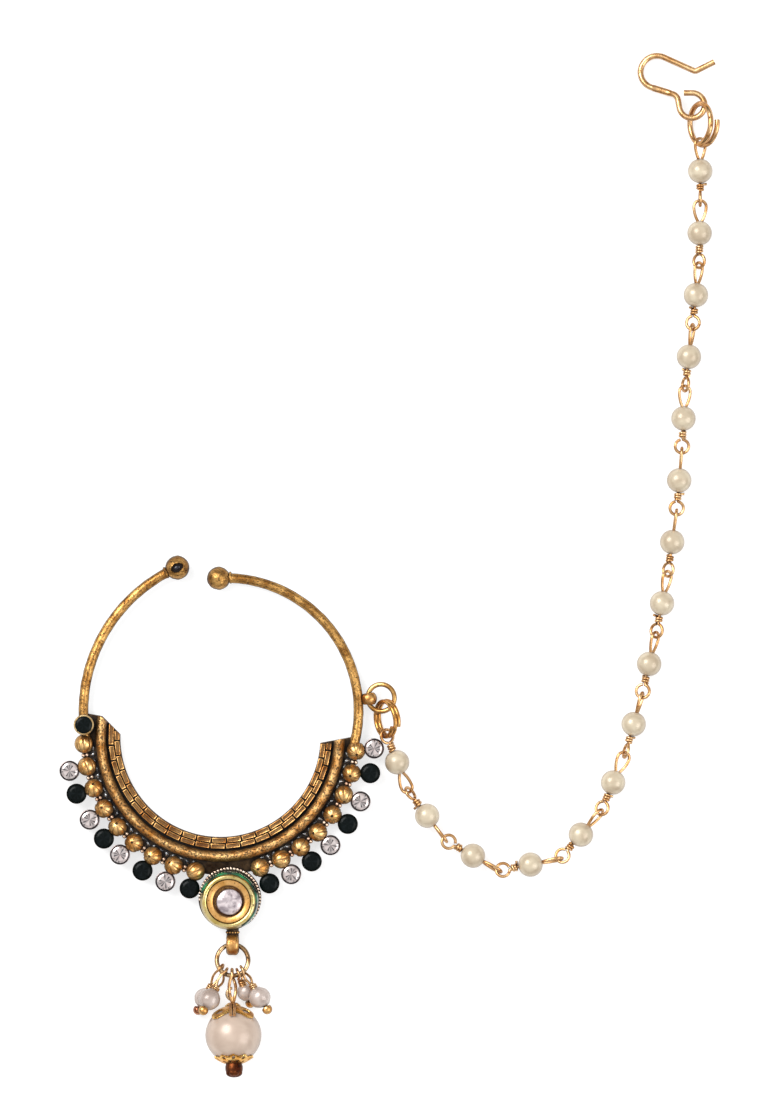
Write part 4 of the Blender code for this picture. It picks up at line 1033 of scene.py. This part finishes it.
def lace_cap(name, petals, valley, tip, flare, end, turn):
    """A dome of petals over the pearl's pole; angles are measured from the pin."""
    alone()
    bpy.ops.mesh.primitive_uv_sphere_add(segments=petals * (80 // petals), ring_count=72, radius=dome)
    edit()
    pick(lambda place, _: place.z < dome * math.cos(math.radians(tip)) or place.xy.length < 0.5)
    bpy.ops.mesh.delete(type="FACE")

    def petal(place):
        """0 at the middle of a petal, 1 between two, and the angle from the pin."""
        around = math.degrees(math.atan2(place.y, place.x)) * petals / 360.0
        return abs(around - round(around)) * 2, math.degrees(math.acos(min(1.0, place.z / dome)))

    def cut_away(place, _):
        """Outside the petals, in an eye in the middle of one, or in a slit between two."""
        side, down = petal(place)
        outline = tip - (tip - valley) * side ** 1.6
        eye = (side / 0.34) ** 2 + ((down - valley * 0.4 - tip * 0.45) / (tip * 0.11)) ** 2 < 1.0
        slit = side > 0.72 and valley * 0.42 < down < valley * 0.72
        return down > outline or eye or slit

    pick(cut_away)
    bpy.ops.mesh.delete(type="FACE")
    pick(lambda place, _: petal(place)[1] > valley and petal(place)[0] < 0.4, "VERT")
    scale_by(1 + flare, 1 + flare, 1)
    close_up()
    finish_with("SOLIDIFY", thickness=0.26, offset=1.0)
    finish_with("SUBSURF", levels=1, render_levels=1)
    bpy.context.object.matrix_world = at_pole(end) @ turned(turn)
    piece(name, CAP_GOLD, "gold_cap", f"main_pearl_{name.removeprefix('drop_')}")


lace_cap("drop_top_cap", 4, 36.0, 60.0, 0.0, -1, 45.0)
lace_cap("drop_bottom_cap", 10, 36.0, 42.0, 0.03, 1, 0.0)
# the boss in the middle of the top cap, which centres the pin
drawn_up([(0.9, 0.0), (1.25, 0.1), (1.3, 0.3), (1.05, 0.5), (0.8, 0.72), (0.42, 0.78)], sides=28)
bpy.context.object.matrix_world = at_pole(-1, PEARL / 2 - 0.02)
piece("drop_top_boss", CAP_GOLD, "gold_cap", "main_pearl_top_cap")

# The pin of the main pearl. One gold-plated wire with a stamped flower head below the pearl; above it
# the wire is drawn out into a long loop over the drop ring, turned half round so both sides show.
# The drawn and plated wire is a clear orange gold with faint drawing marks.
GOLD_WIRE = antiqued("drawn_gold_plated_wire", "C99258", "F2C894", "6A3A16",
                     polish=0.24, grain=0.8, patina_and_shade_reach=0.45, bump=0.12, painted_flank_shade=0.6)


def long_hook(radius, stretch, waist, twist):
    """A loop over a wire at the origin, drawn out along X, narrowed and twisted to lie flat."""
    route = []
    for spot in round_turns(radius, 61, first=90.0):
        place = Vector((spot.x, 0, spot.y))
        if place.x > 0:
            place.x *= (radius + stretch) / radius
            along = place.x / (radius + stretch)
            place.z *= 1.0 - (1.0 - waist) * along
            place = Matrix.Rotation(math.radians(twist) * min(1.0, along * 1.6), 3, "X") @ place
        route.append(place)
    return route


bent_wire(long_hook(main_loop, LOOP_STRETCH + 0.8, 0.45, 72.0), PIN_WIRE * 0.9)
long_loop = bpy.context.object
bent_wire([Vector((main_loop_end - 0.15, 0, 0)), Vector((main_at, 0, 0)),
           Vector((main_at + PEARL / 2 + 0.9, 0, 0))], PIN_WIRE)
join(bpy.context.object, long_loop)
bpy.context.object.matrix_world = main_place
piece("drop_pin", GOLD_WIRE, "gold_wire", "main_pearl_pin", crease=50.0)
# the loop's two legs, laid side by side over the top cap
LEG_SPREAD = 0.3
leg_reach = PEARL / 2 + 0.55
for side, beside in (("left", -LEG_SPREAD), ("right", LEG_SPREAD)):
    legs = [polar(leg_reach, turn) for turn in range(6, 59, 2)]
    bent_wire([main_place @ Vector((main_at - spot.x, beside, spot.y)) for spot in legs], PIN_WIRE * 0.8)
    piece(f"drop_pin_leg_{side}", GOLD_WIRE, "gold_wire", "main_pearl_pin")
# the wire's tail, curled back beside the loop
TAIL_BEND = 0.95
tail_middle = main_place @ Vector((LOOP_STRETCH + 0.4, 0, 0))
bent_wire([tail_middle + Vector((TAIL_BEND * math.cos(turn / 10), TAIL_BEND * math.sin(turn / 10), 0.1))
           for turn in range(16, 47)], PIN_WIRE * 0.75)
piece("drop_pin_tail", DULL_WIRE, "gold_wire", "main_pearl_pin", crease=50.0)

# the head under the pearl: red-brown with gilt left on its edge
BURNT = antiqued("burnt_copper_head", "34140C", "7C4424", "160604",
                 polish=0.42, grain=0.45, patina_and_shade_reach=0.5, bump=0.5, painted_flank_shade=0.6)
HEAD = 2.8
HEAD_HEIGHT = 1.5
alone()
bpy.ops.mesh.primitive_uv_sphere_add(segments=32, ring_count=16, radius=HEAD / 2)
bpy.context.object.scale = (1, 1, HEAD_HEIGHT / HEAD)
bpy.ops.object.transform_apply(scale=True)
edit()
pick(lambda place, _: round(math.degrees(math.atan2(place.y, place.x)) / 11.25) % 4 == 0
     and place.xy.length > 0.5, "VERT")
scale_by(0.86, 0.86, 0.8)
close_up()
finish_with("SUBSURF", levels=1, render_levels=1)
bpy.context.object.matrix_world = at_pole(1, PEARL / 2 + 2 * SEAT + CAP_WALL + HEAD_HEIGHT / 2)
piece("drop_pin_head", BURNT, "gold_wire", "main_pearl_pin")
# the flower's cup, which fills the space between the head and the cap
drawn_up([(0.9, 0.0), (1.3, 0.15), (1.42, 0.6), (1.42, 1.1), (1.3, 1.6), (0.5, 1.7)], sides=28)
bpy.context.object.matrix_world = at_pole(1, PEARL / 2 - 0.02)
piece("drop_pin_cup", BURNT, "gold_wire", "main_pearl_pin")

# The four small pearls of the drop. Slightly uneven lacquered beads, each on its own wire: a long
# loop over the drop ring, two or three wraps above the pearl and a ball melted on the end.
SMALL_WIRE = 0.42
SMALL_WRAP = 0.5
SMALL_WRAP_LENGTH = 0.95
SMALL_BALL = 1.65
# name, pearl, place on the drop ring, heading, height of the pearl, wire above the pearl, ball
SMALL_PEARLS = [
    ("small_pearl_front_left", 3.5, 240.0, 239.5, 5.6, 2.8, "gold"),
    ("small_pearl_back_left", 3.3, 218.0, 241.5, 1.7, 2.8, "copper"),
    ("small_pearl_right", 3.5, 315.0, 302.5, 4.1, 2.5, "gold"),
    ("small_pearl_back_middle", 2.9, 294.0, 291.0, 1.56, 1.0, "gold"),
]
# greyer and pinker than the large pearl
GREY_PEARL = pearly_with_painted_rim("grey_pink_pearl_lacquer", "AC9A90", "D0C2BA", polish=0.24)
COPPER_BALL = antiqued("copper_red_ball", "A8684A", "DCA078", "3A1408",
                       polish=0.20, grain=0.7, patina_and_shade_reach=0.3, bump=0.2)
small_loop = (DROP_WIRE + SMALL_WIRE) / 2 + LINK_GAP
for name, size, ring_turn, heading, height, neck, end in SMALL_PEARLS:
    point, way = on_drop_ring(ring_turn)
    pearl_at = small_loop + neck + size / 2
    place = hanging_place(point, way, heading, pearl_at, height)
    drilled_pearl(size)
    unevenly(0.22)
    bpy.context.object.matrix_world = place @ Matrix.Translation((pearl_at, 0, 0))
    piece(name.replace("small_pearl", "bead"), GREY_PEARL, "cream_pearl", name, crease=60.0)

    wraps = round_turns(SMALL_WRAP, 64, sweep=1000.0, rise=SMALL_WRAP_LENGTH)
    wraps = [Vector((pearl_at - size / 2 + 0.25 - spot.z, spot.x, spot.y)) for spot in wraps]
    wraps.append(wraps[-1] + Vector((-0.1, 0.55, 0.35)))
    bent_wire(wraps, SMALL_WIRE * 0.8)
    wrapped = bpy.context.object
    bent_wire(long_hook(small_loop, neck - 0.75, 0.45, 55.0), SMALL_WIRE)
    join(bpy.context.object, wrapped)
    bpy.context.object.matrix_world = place
    piece(name.replace("small_pearl", "wire"), GOLD_WIRE, "gold_wire", name, crease=50.0)

    alone()
    bpy.ops.mesh.primitive_uv_sphere_add(segments=24, ring_count=16, radius=SMALL_BALL / 2,
                                         rotation=(0, math.pi / 2, 0))
    bpy.ops.object.transform_apply(rotation=True)
    edit()
    pick(lambda spot, _: spot.x < -SMALL_BALL * 0.3)
    scale_by(1, 0.55, 0.55)
    close_up()
    ball_at = pearl_at + size / 2 + SMALL_BALL * 0.35
    bpy.context.object.matrix_world = place @ Matrix.Translation((ball_at, 0, 0))
    piece(name.replace("small_pearl", "ball"), COPPER_BALL if end == "copper" else GRANULE_GOLD,
          "gold_wire", name, crease=50.0)

# The two rings at the hoop's side. A thick jump ring passes through the ear; a split ring of thinner
# wire, wound twice, hangs from it and takes the first link of the hair chain.
SIDE_CLIMB = 10.0
side_out = direction(math.degrees(ear_turn), SIDE_CLIMB)
side_hold = hole_place - ear_out * sag / 2
side_centre = side_hold + side_out * ring_bend
side_place = axes(side_out, (0, 0, 1), side_centre)
# old gold: a shade greener than the chain's wire
OLD_GOLD = antiqued("old_gold_plated_ring", "B07A3C", "EABC78", "33200C",
                    polish=0.26, grain=0.7, patina_and_shade_reach=0.45, bump=0.3)
jump_ring(SIDE_RING, SIDE_WIRE, side_place)
piece("side_ring", OLD_GOLD, "gold_wire", "side_jump_ring", crease=50.0)

SPLIT_RING = 6.3
SPLIT_WIRE = 0.56
SPLIT_PITCH = 0.62
SPLIT_START = 60.0
SPLIT_TILT = 60.0
CHAIN_CONTACT = -5.0
SLACK = (0.12, 0.6)
CHAIN_SIDE_GAP = 0.6


def tilted_ring(heading, tilt):
    """Axes of a ring whose Y lies level on a heading and whose X climbs by the tilt."""
    climb = direction(heading - 90.0) * math.cos(math.radians(tilt))
    climb += Vector((0, 0, math.sin(math.radians(tilt))))
    return axes(climb, climb.cross(direction(heading)))


split_radius = (SPLIT_RING - SPLIT_WIRE) / 2
split_top = side_place @ Vector((0, -ring_bend, 0))
split_top += Vector((SLACK[0], SIDE_WIRE / 2 + LINK_GAP + SPLIT_WIRE / 2 + SLACK[1], 0))
chain_start = cups[-1][1].x + CUP / 2 + CHAIN_SIDE_GAP
split_lean = math.degrees(math.asin((chain_start - split_top.x) / (2 * split_radius)))
split_turn = tilted_ring(90.0 + split_lean, SPLIT_TILT)
split_centre = split_top - split_turn.to_3x3() @ Vector((0, split_radius, 0))
at_contact = SPLIT_PITCH * ((CHAIN_CONTACT - SPLIT_START) % 360.0 + 180.0) / 360.0
split_route = round_turns(split_radius, 131, first=SPLIT_START, sweep=720.0, rise=2 * SPLIT_PITCH)
split_route = [spot - Vector((0, 0, at_contact)) for spot in split_route]
split_centre.z = SPLIT_WIRE / 2 - min((split_turn @ spot).z for spot in split_route)
# the two turns lie closed on each other, so the wire is drawn as thick as the pitch
SPLIT_SWELL = 0.14
bent_wire(split_route, SPLIT_WIRE + SPLIT_SWELL)
split_lift = Matrix.Translation(split_centre + Vector((0, 0, SPLIT_SWELL / 2)))
bpy.context.object.matrix_world = split_lift @ split_turn
# plated thicker than the chain: a deep orange gold
ORANGE_GILT = antiqued("thick_orange_gilding", "C08440", "EEBA74", "5E300E",
                       polish=0.24, grain=0.8, patina_and_shade_reach=0.5, bump=0.15, painted_flank_shade=0.5)
piece("split_ring", ORANGE_GILT, "gold_wire", "coil_ring", crease=50.0)

# The hair chain. Sixteen ivory imitation pearls, each on one bent wire: towards the hook a long plain
# loop, towards the nose a round loop that ends in a rough wrap with its tail left standing.
BEAD = 4.0
CHAIN_WIRE = 0.5
LONG_LOOP = 3.55
LONG_LOOP_WIDTH = 2.5
LONG_END = (LONG_LOOP_WIDTH - CHAIN_WIRE) / 2
ROUND_LOOP = 2.7
WRAP = 1.3
WRAP_LENGTH = 1.2
WRAP_TURN = 77.0
# heading of each link from the nose to the hook, and the roll of its long loop, in degrees
CHAIN_LAY = [
    (291, 25), (307, 85), (330, 75), (371, 75), (409, 60), (427, 15), (434, 75), (437, 55),
    (439, 45), (442, 90), (445, 90), (447, 25), (443, 70), (444, 50), (449, 0), (450, 0),
]
joint_half = (CHAIN_WIRE + LINK_GAP) / 2
hook_reach = BEAD / 2 + LONG_LOOP - CHAIN_WIRE / 2 - joint_half
nose_reach = BEAD / 2 + WRAP_LENGTH + ROUND_LOOP - CHAIN_WIRE / 2 - joint_half
long_middle = BEAD / 2 + LONG_LOOP - CHAIN_WIRE / 2 - LONG_END
round_middle = BEAD / 2 + WRAP_LENGTH + ROUND_LOOP / 2
# ivory lacquer, satin, warmer than the drop's pearls
IVORY_PEARL = pearly_with_painted_rim("ivory_pearl_lacquer", "BEAC92", "D8CAB0", polish=0.32)


def facing_roll(along, passing):
    """Roll that turns a loop on this axis square to the wire passing through it."""
    level = along.cross(Vector((0, 0, 1))).normalized()
    return math.degrees(math.atan2(passing.dot(level), passing.dot(level.cross(along))))


def ring_contact(turn, radius, degrees):
    """Point on a ring, measured from its low end, and the wire's direction there."""
    angle = math.radians(degrees)
    point = turn.to_3x3() @ Vector((math.sin(angle), -math.cos(angle), 0)) * radius
    return point, turn.to_3x3() @ Vector((math.cos(angle), math.sin(angle), 0))


def link_wire(long_roll, round_roll, number):
    """The wire of one link, its bead at the origin and X towards the hair hook."""
    drawn = []
    for k in range(9):
        along = k / 8
        drawn.append(Vector((BEAD / 2 - 0.3 + (long_middle - BEAD / 2 + 0.3) * along,
                             -0.16 - (LONG_END - 0.16) * math.sin(along * math.pi / 2) ** 0.8, 0)))
    for k in range(1, 20):
        turn = math.radians(-90.0 + 9.0 * k)
        drawn.append(Vector((long_middle + LONG_END * math.cos(turn), LONG_END * math.sin(turn), 0)))
    drawn += [Vector((spot.x, -spot.y, 0)) for spot in reversed(drawn[:9])]
    long_turn = turned(long_roll, "X", 3)
    bent_wire([long_turn @ spot for spot in drawn], CHAIN_WIRE)
    made = [bpy.context.object]
    round_turn = turned(round_roll, "X", 3)
    closed = [Vector((-BEAD / 2 + 0.3, 0, 0)), Vector((-BEAD / 2 - WRAP_LENGTH * 0.85, 0, 0))]
    middle = Vector((-round_middle, 0, 0))
    closed += [middle + spot for spot in round_turns((ROUND_LOOP - CHAIN_WIRE) / 2, 31, first=98.0,
                                                     sweep=338.0)]
    bent_wire([round_turn @ spot for spot in closed], CHAIN_WIRE)
    made.append(bpy.context.object)
    # no two wraps are alike: the tail stands out on another side each time
    radius = (WRAP - CHAIN_WIRE) / 2 + 0.05
    coil = round_turns(radius, 49, first=number * WRAP_TURN, sweep=830.0, rise=WRAP_LENGTH * 0.8)
    coil = [Vector((-BEAD / 2 - WRAP_LENGTH + spot.z + 0.05, spot.x, spot.y)) for spot in coil]
    outwards = Vector((0.0, coil[-1].y, coil[-1].z))
    coil.append(coil[-1] + (coil[-1] - coil[-2]).normalized() * 0.4 + outwards)
    bent_wire(coil, CHAIN_WIRE * 0.85)
    join(bpy.context.object, *made)


# the coil at the far end, which the last link takes hold of
HOOK_RING = 7.6
HOOK_RING_WIRE = 0.9
HOOK_RING_TILT = 57.0
HOOK_RING_TURN = 450.0
HOOK_RING_END = 100.0
HOOK_RING_HOLD = -15.0
HOOK_RING_RISE = 1.3 * HOOK_RING_TURN / 360.0
hook_ring_radius = (HOOK_RING - HOOK_RING_WIRE) / 2
hook_ring_turn = tilted_ring(90.0, HOOK_RING_TILT)
held = (HOOK_RING_END - HOOK_RING_HOLD) / HOOK_RING_TURN
hook_coil = round_turns(hook_ring_radius, 91, first=HOOK_RING_END, sweep=-HOOK_RING_TURN,
                        rise=HOOK_RING_RISE)
hook_coil = [spot - Vector((0, 0, HOOK_RING_RISE * held)) for spot in hook_coil]
hook_ring_height = HOOK_RING_WIRE / 2 - min((hook_ring_turn @ spot).z for spot in hook_coil)
hook_hold, hook_wire_way = ring_contact(hook_ring_turn, hook_ring_radius, HOOK_RING_HOLD)

# each bead sits turned on its wire
BEAD_TURN = 53.0
drilled_pearl(BEAD)
bead_model = bpy.context.object
split_hold, split_way = ring_contact(split_turn, split_radius, CHAIN_CONTACT)
joint = split_centre + split_hold
round_roll = facing_roll(direction(CHAIN_LAY[0][0]), split_way)
for number, (heading, long_roll) in enumerate(CHAIN_LAY, start=1):
    before = round_middle if number == 1 else nose_reach
    after, end_height = hook_reach, BEAD / 2
    if number == len(CHAIN_LAY):
        after, end_height = long_middle, hook_ring_height + hook_hold.z
        long_roll = facing_roll(direction(heading), hook_wire_way)
    along = direction(heading, math.degrees(math.asin((end_height - joint.z) / (before + after))))
    bead_centre = joint + along * before
    place = axes(along, (0, 0, 1), bead_centre)
    node = f"pearl_link_{number:02d}"
    alone(copy_of(bead_model, place @ turned(BEAD_TURN * number, "X")))
    piece(f"chain_bead_{number:02d}", IVORY_PEARL, "ivory_pearl", node, crease=60.0)
    link_wire(long_roll, round_roll, number)
    bpy.context.object.matrix_world = place
    piece(f"chain_wire_{number:02d}", GOLD_WIRE, "gold_wire", node, crease=50.0)
    joint = bead_centre + along * after
    round_roll = long_roll + 90.0
bpy.data.objects.remove(bead_model)

# The hook ring. An open coil of one and a quarter turns of stout gold-plated wire, its end left
# standing out, which holds the last link and the eye of the hair hook.
hook_ring_centre = joint - hook_hold
bent_wire(hook_coil, HOOK_RING_WIRE)
bpy.context.object.matrix_world = Matrix.Translation(hook_ring_centre) @ hook_ring_turn
piece("open_coil_ring", GOLD_WIRE, "gold_wire", "hook_ring", crease=50.0)

# The hair hook. One stout gold-plated wire bent in a single plane: an open eye, a shank hammered
# flat, a wide crook for the hair and a tip turned out. Both ends are cut square.
HOOK_WIRE = 0.9
HOOK_SWELL = 1.08
HOOK_LIFT = 0.04
HAMMERED = 0.72
# straight run, radius of the bend after it and how far it turns
HOOK_BENDS = [
    (1.3, 2.07, -260.0), (1.3, 1.3, 62.0), (3.6, 2.67, -187.0), (5.4, 0.6, 51.0), (3.2, 0.0, 0.0),
]
spot, heading = Vector((-HOOK_BENDS[0][0], HOOK_BENDS[0][1], 0)), 0.0
hook_route, flat = [spot.copy()], []
for run, radius, turn in HOOK_BENDS:
    steps = max(2, round(run / 0.3))
    for k in range(1, steps + 1):
        hook_route.append(spot + direction(heading) * run * k / steps)
        if run == HOOK_BENDS[2][0] and 1 < k < steps:
            flat.append(len(hook_route) - 1)
    spot = hook_route[-1].copy()
    if turn:
        centre = spot + direction(heading + math.copysign(90.0, turn)) * radius
        steps = max(6, round(abs(turn) / 6.0))
        for k in range(1, steps + 1):
            hook_route.append(centre + Matrix.Rotation(math.radians(turn) * k / steps, 3, "Z")
                              @ (spot - centre))
        spot = hook_route[-1].copy()
        heading += turn
# the hook leans down from the ring that it hangs in
HOOK_LEAN = 9.0
HOOK_HEADING = 145.0
# the eye stands just outside this side of its ring
EYE_SIDE = 120.0
EYE_REACH = 1.08
hook_turn = turned(-HOOK_LEAN, direction(HOOK_HEADING - 90.0))
hook_low = min((hook_turn @ place).z for place in hook_route)
eye_place = Vector((hook_ring_centre.x, hook_ring_centre.y, HOOK_WIRE / 2 - hook_low))
eye_place += direction(EYE_SIDE) * hook_ring_radius * EYE_REACH
bent_wire([place + Vector((0, 0, HOOK_LIFT)) for place in hook_route], HOOK_WIRE * HOOK_SWELL, flat)
edit()
near, far = hook_route[flat[0]], hook_route[flat[-1]]
pick(lambda place, _: (place - (near + far) / 2).length < (far - near).length / 2 + 0.1, "VERT")
scale_by(1, 1, HAMMERED, HOOK_LIFT)
close_up()
bpy.context.object.matrix_world = Matrix.Translation(eye_place) @ hook_turn
piece("wire_hair_hook", GOLD_WIRE, "gold_wire", "hair_hook", crease=40.0)

# The studio. A pale floor, a broad soft light over the left shoulder, a weaker one from the right and
# bright air all round. The camera looks straight down at the lay-out through a long lens.
PIXEL = 0.163
PHOTO_SIZE = (780, 1108)
BAND_PIXEL = (220.5, 736.8)
PHOTO_MIDDLE = BAND_CENTRE + Vector(((PHOTO_SIZE[0] / 2 - BAND_PIXEL[0]) * PIXEL,
                                     (BAND_PIXEL[1] - PHOTO_SIZE[1] / 2) * PIXEL, 0)) * MM
alone()
bpy.ops.mesh.primitive_plane_add(size=6.0, location=(PHOTO_MIDDLE.x, PHOTO_MIDDLE.y, -0.02 * MM))
floor = bpy.context.object
floor.name = "pale_floor"
PAPER, tree, shader, place = new_material("white_paper")
# lit from below as on a light table, which keeps the shadows faint
fill(shader, {"Base Color": colour("B4B4B4"), "Roughness": 0.9, "Specular IOR Level": 0.1,
              "Emission Color": colour("FFFFFF"), "Emission Strength": 0.68})
floor.data.materials.append(PAPER)

for name, place, size, power in (
    ("key_light", (-0.55, 0.45, 0.85), 0.7, 9.0),
    ("fill_light", (0.75, -0.25, 0.7), 0.8, 4.0),
):
    bpy.ops.object.light_add(type="AREA", location=Vector(place) + PHOTO_MIDDLE)
    light = bpy.context.object
    light.name = name
    light.data.shape = "DISK"
    light.data.size = size
    light.data.energy = power
    light.rotation_euler = (PHOTO_MIDDLE - light.location).to_track_quat("-Z", "Y").to_euler()

world = bpy.data.worlds.new("bright_air")
bpy.context.scene.world = world
world.use_nodes = True
# bright overhead, dim towards the horizon, so round metal gets dark edges
tree = world.node_tree
sky = add(tree, "ShaderNodeSeparateXYZ", {0: add(tree, "ShaderNodeTexCoord").outputs["Generated"]})
sky = add(tree, "ShaderNodeMapRange", {"Value": sky.outputs[2], "From Min": 0.15, "From Max": 0.75})
air = add(tree, "ShaderNodeMix", {0: sky.outputs[0], 6: colour("565656"), 7: colour("FFFFFF")},
          data_type="RGBA")
fill(tree.nodes["Background"], {"Color": air.outputs[2], "Strength": 0.8})
bpy.context.scene.view_settings.view_transform = "Standard"

CAMERA_HEIGHT = 1.2
bpy.ops.object.camera_add(location=PHOTO_MIDDLE + Vector((0, 0, CAMERA_HEIGHT)), rotation=(0, 0, 0))
camera = bpy.context.object
camera.name = "straight_down"
camera.data.sensor_fit = "VERTICAL"
camera.data.sensor_height = 24.0
camera.data.lens = camera.data.sensor_height * CAMERA_HEIGHT / (PHOTO_SIZE[1] * PIXEL * MM)
camera.data.clip_start = 0.05
bpy.context.scene.camera = camera
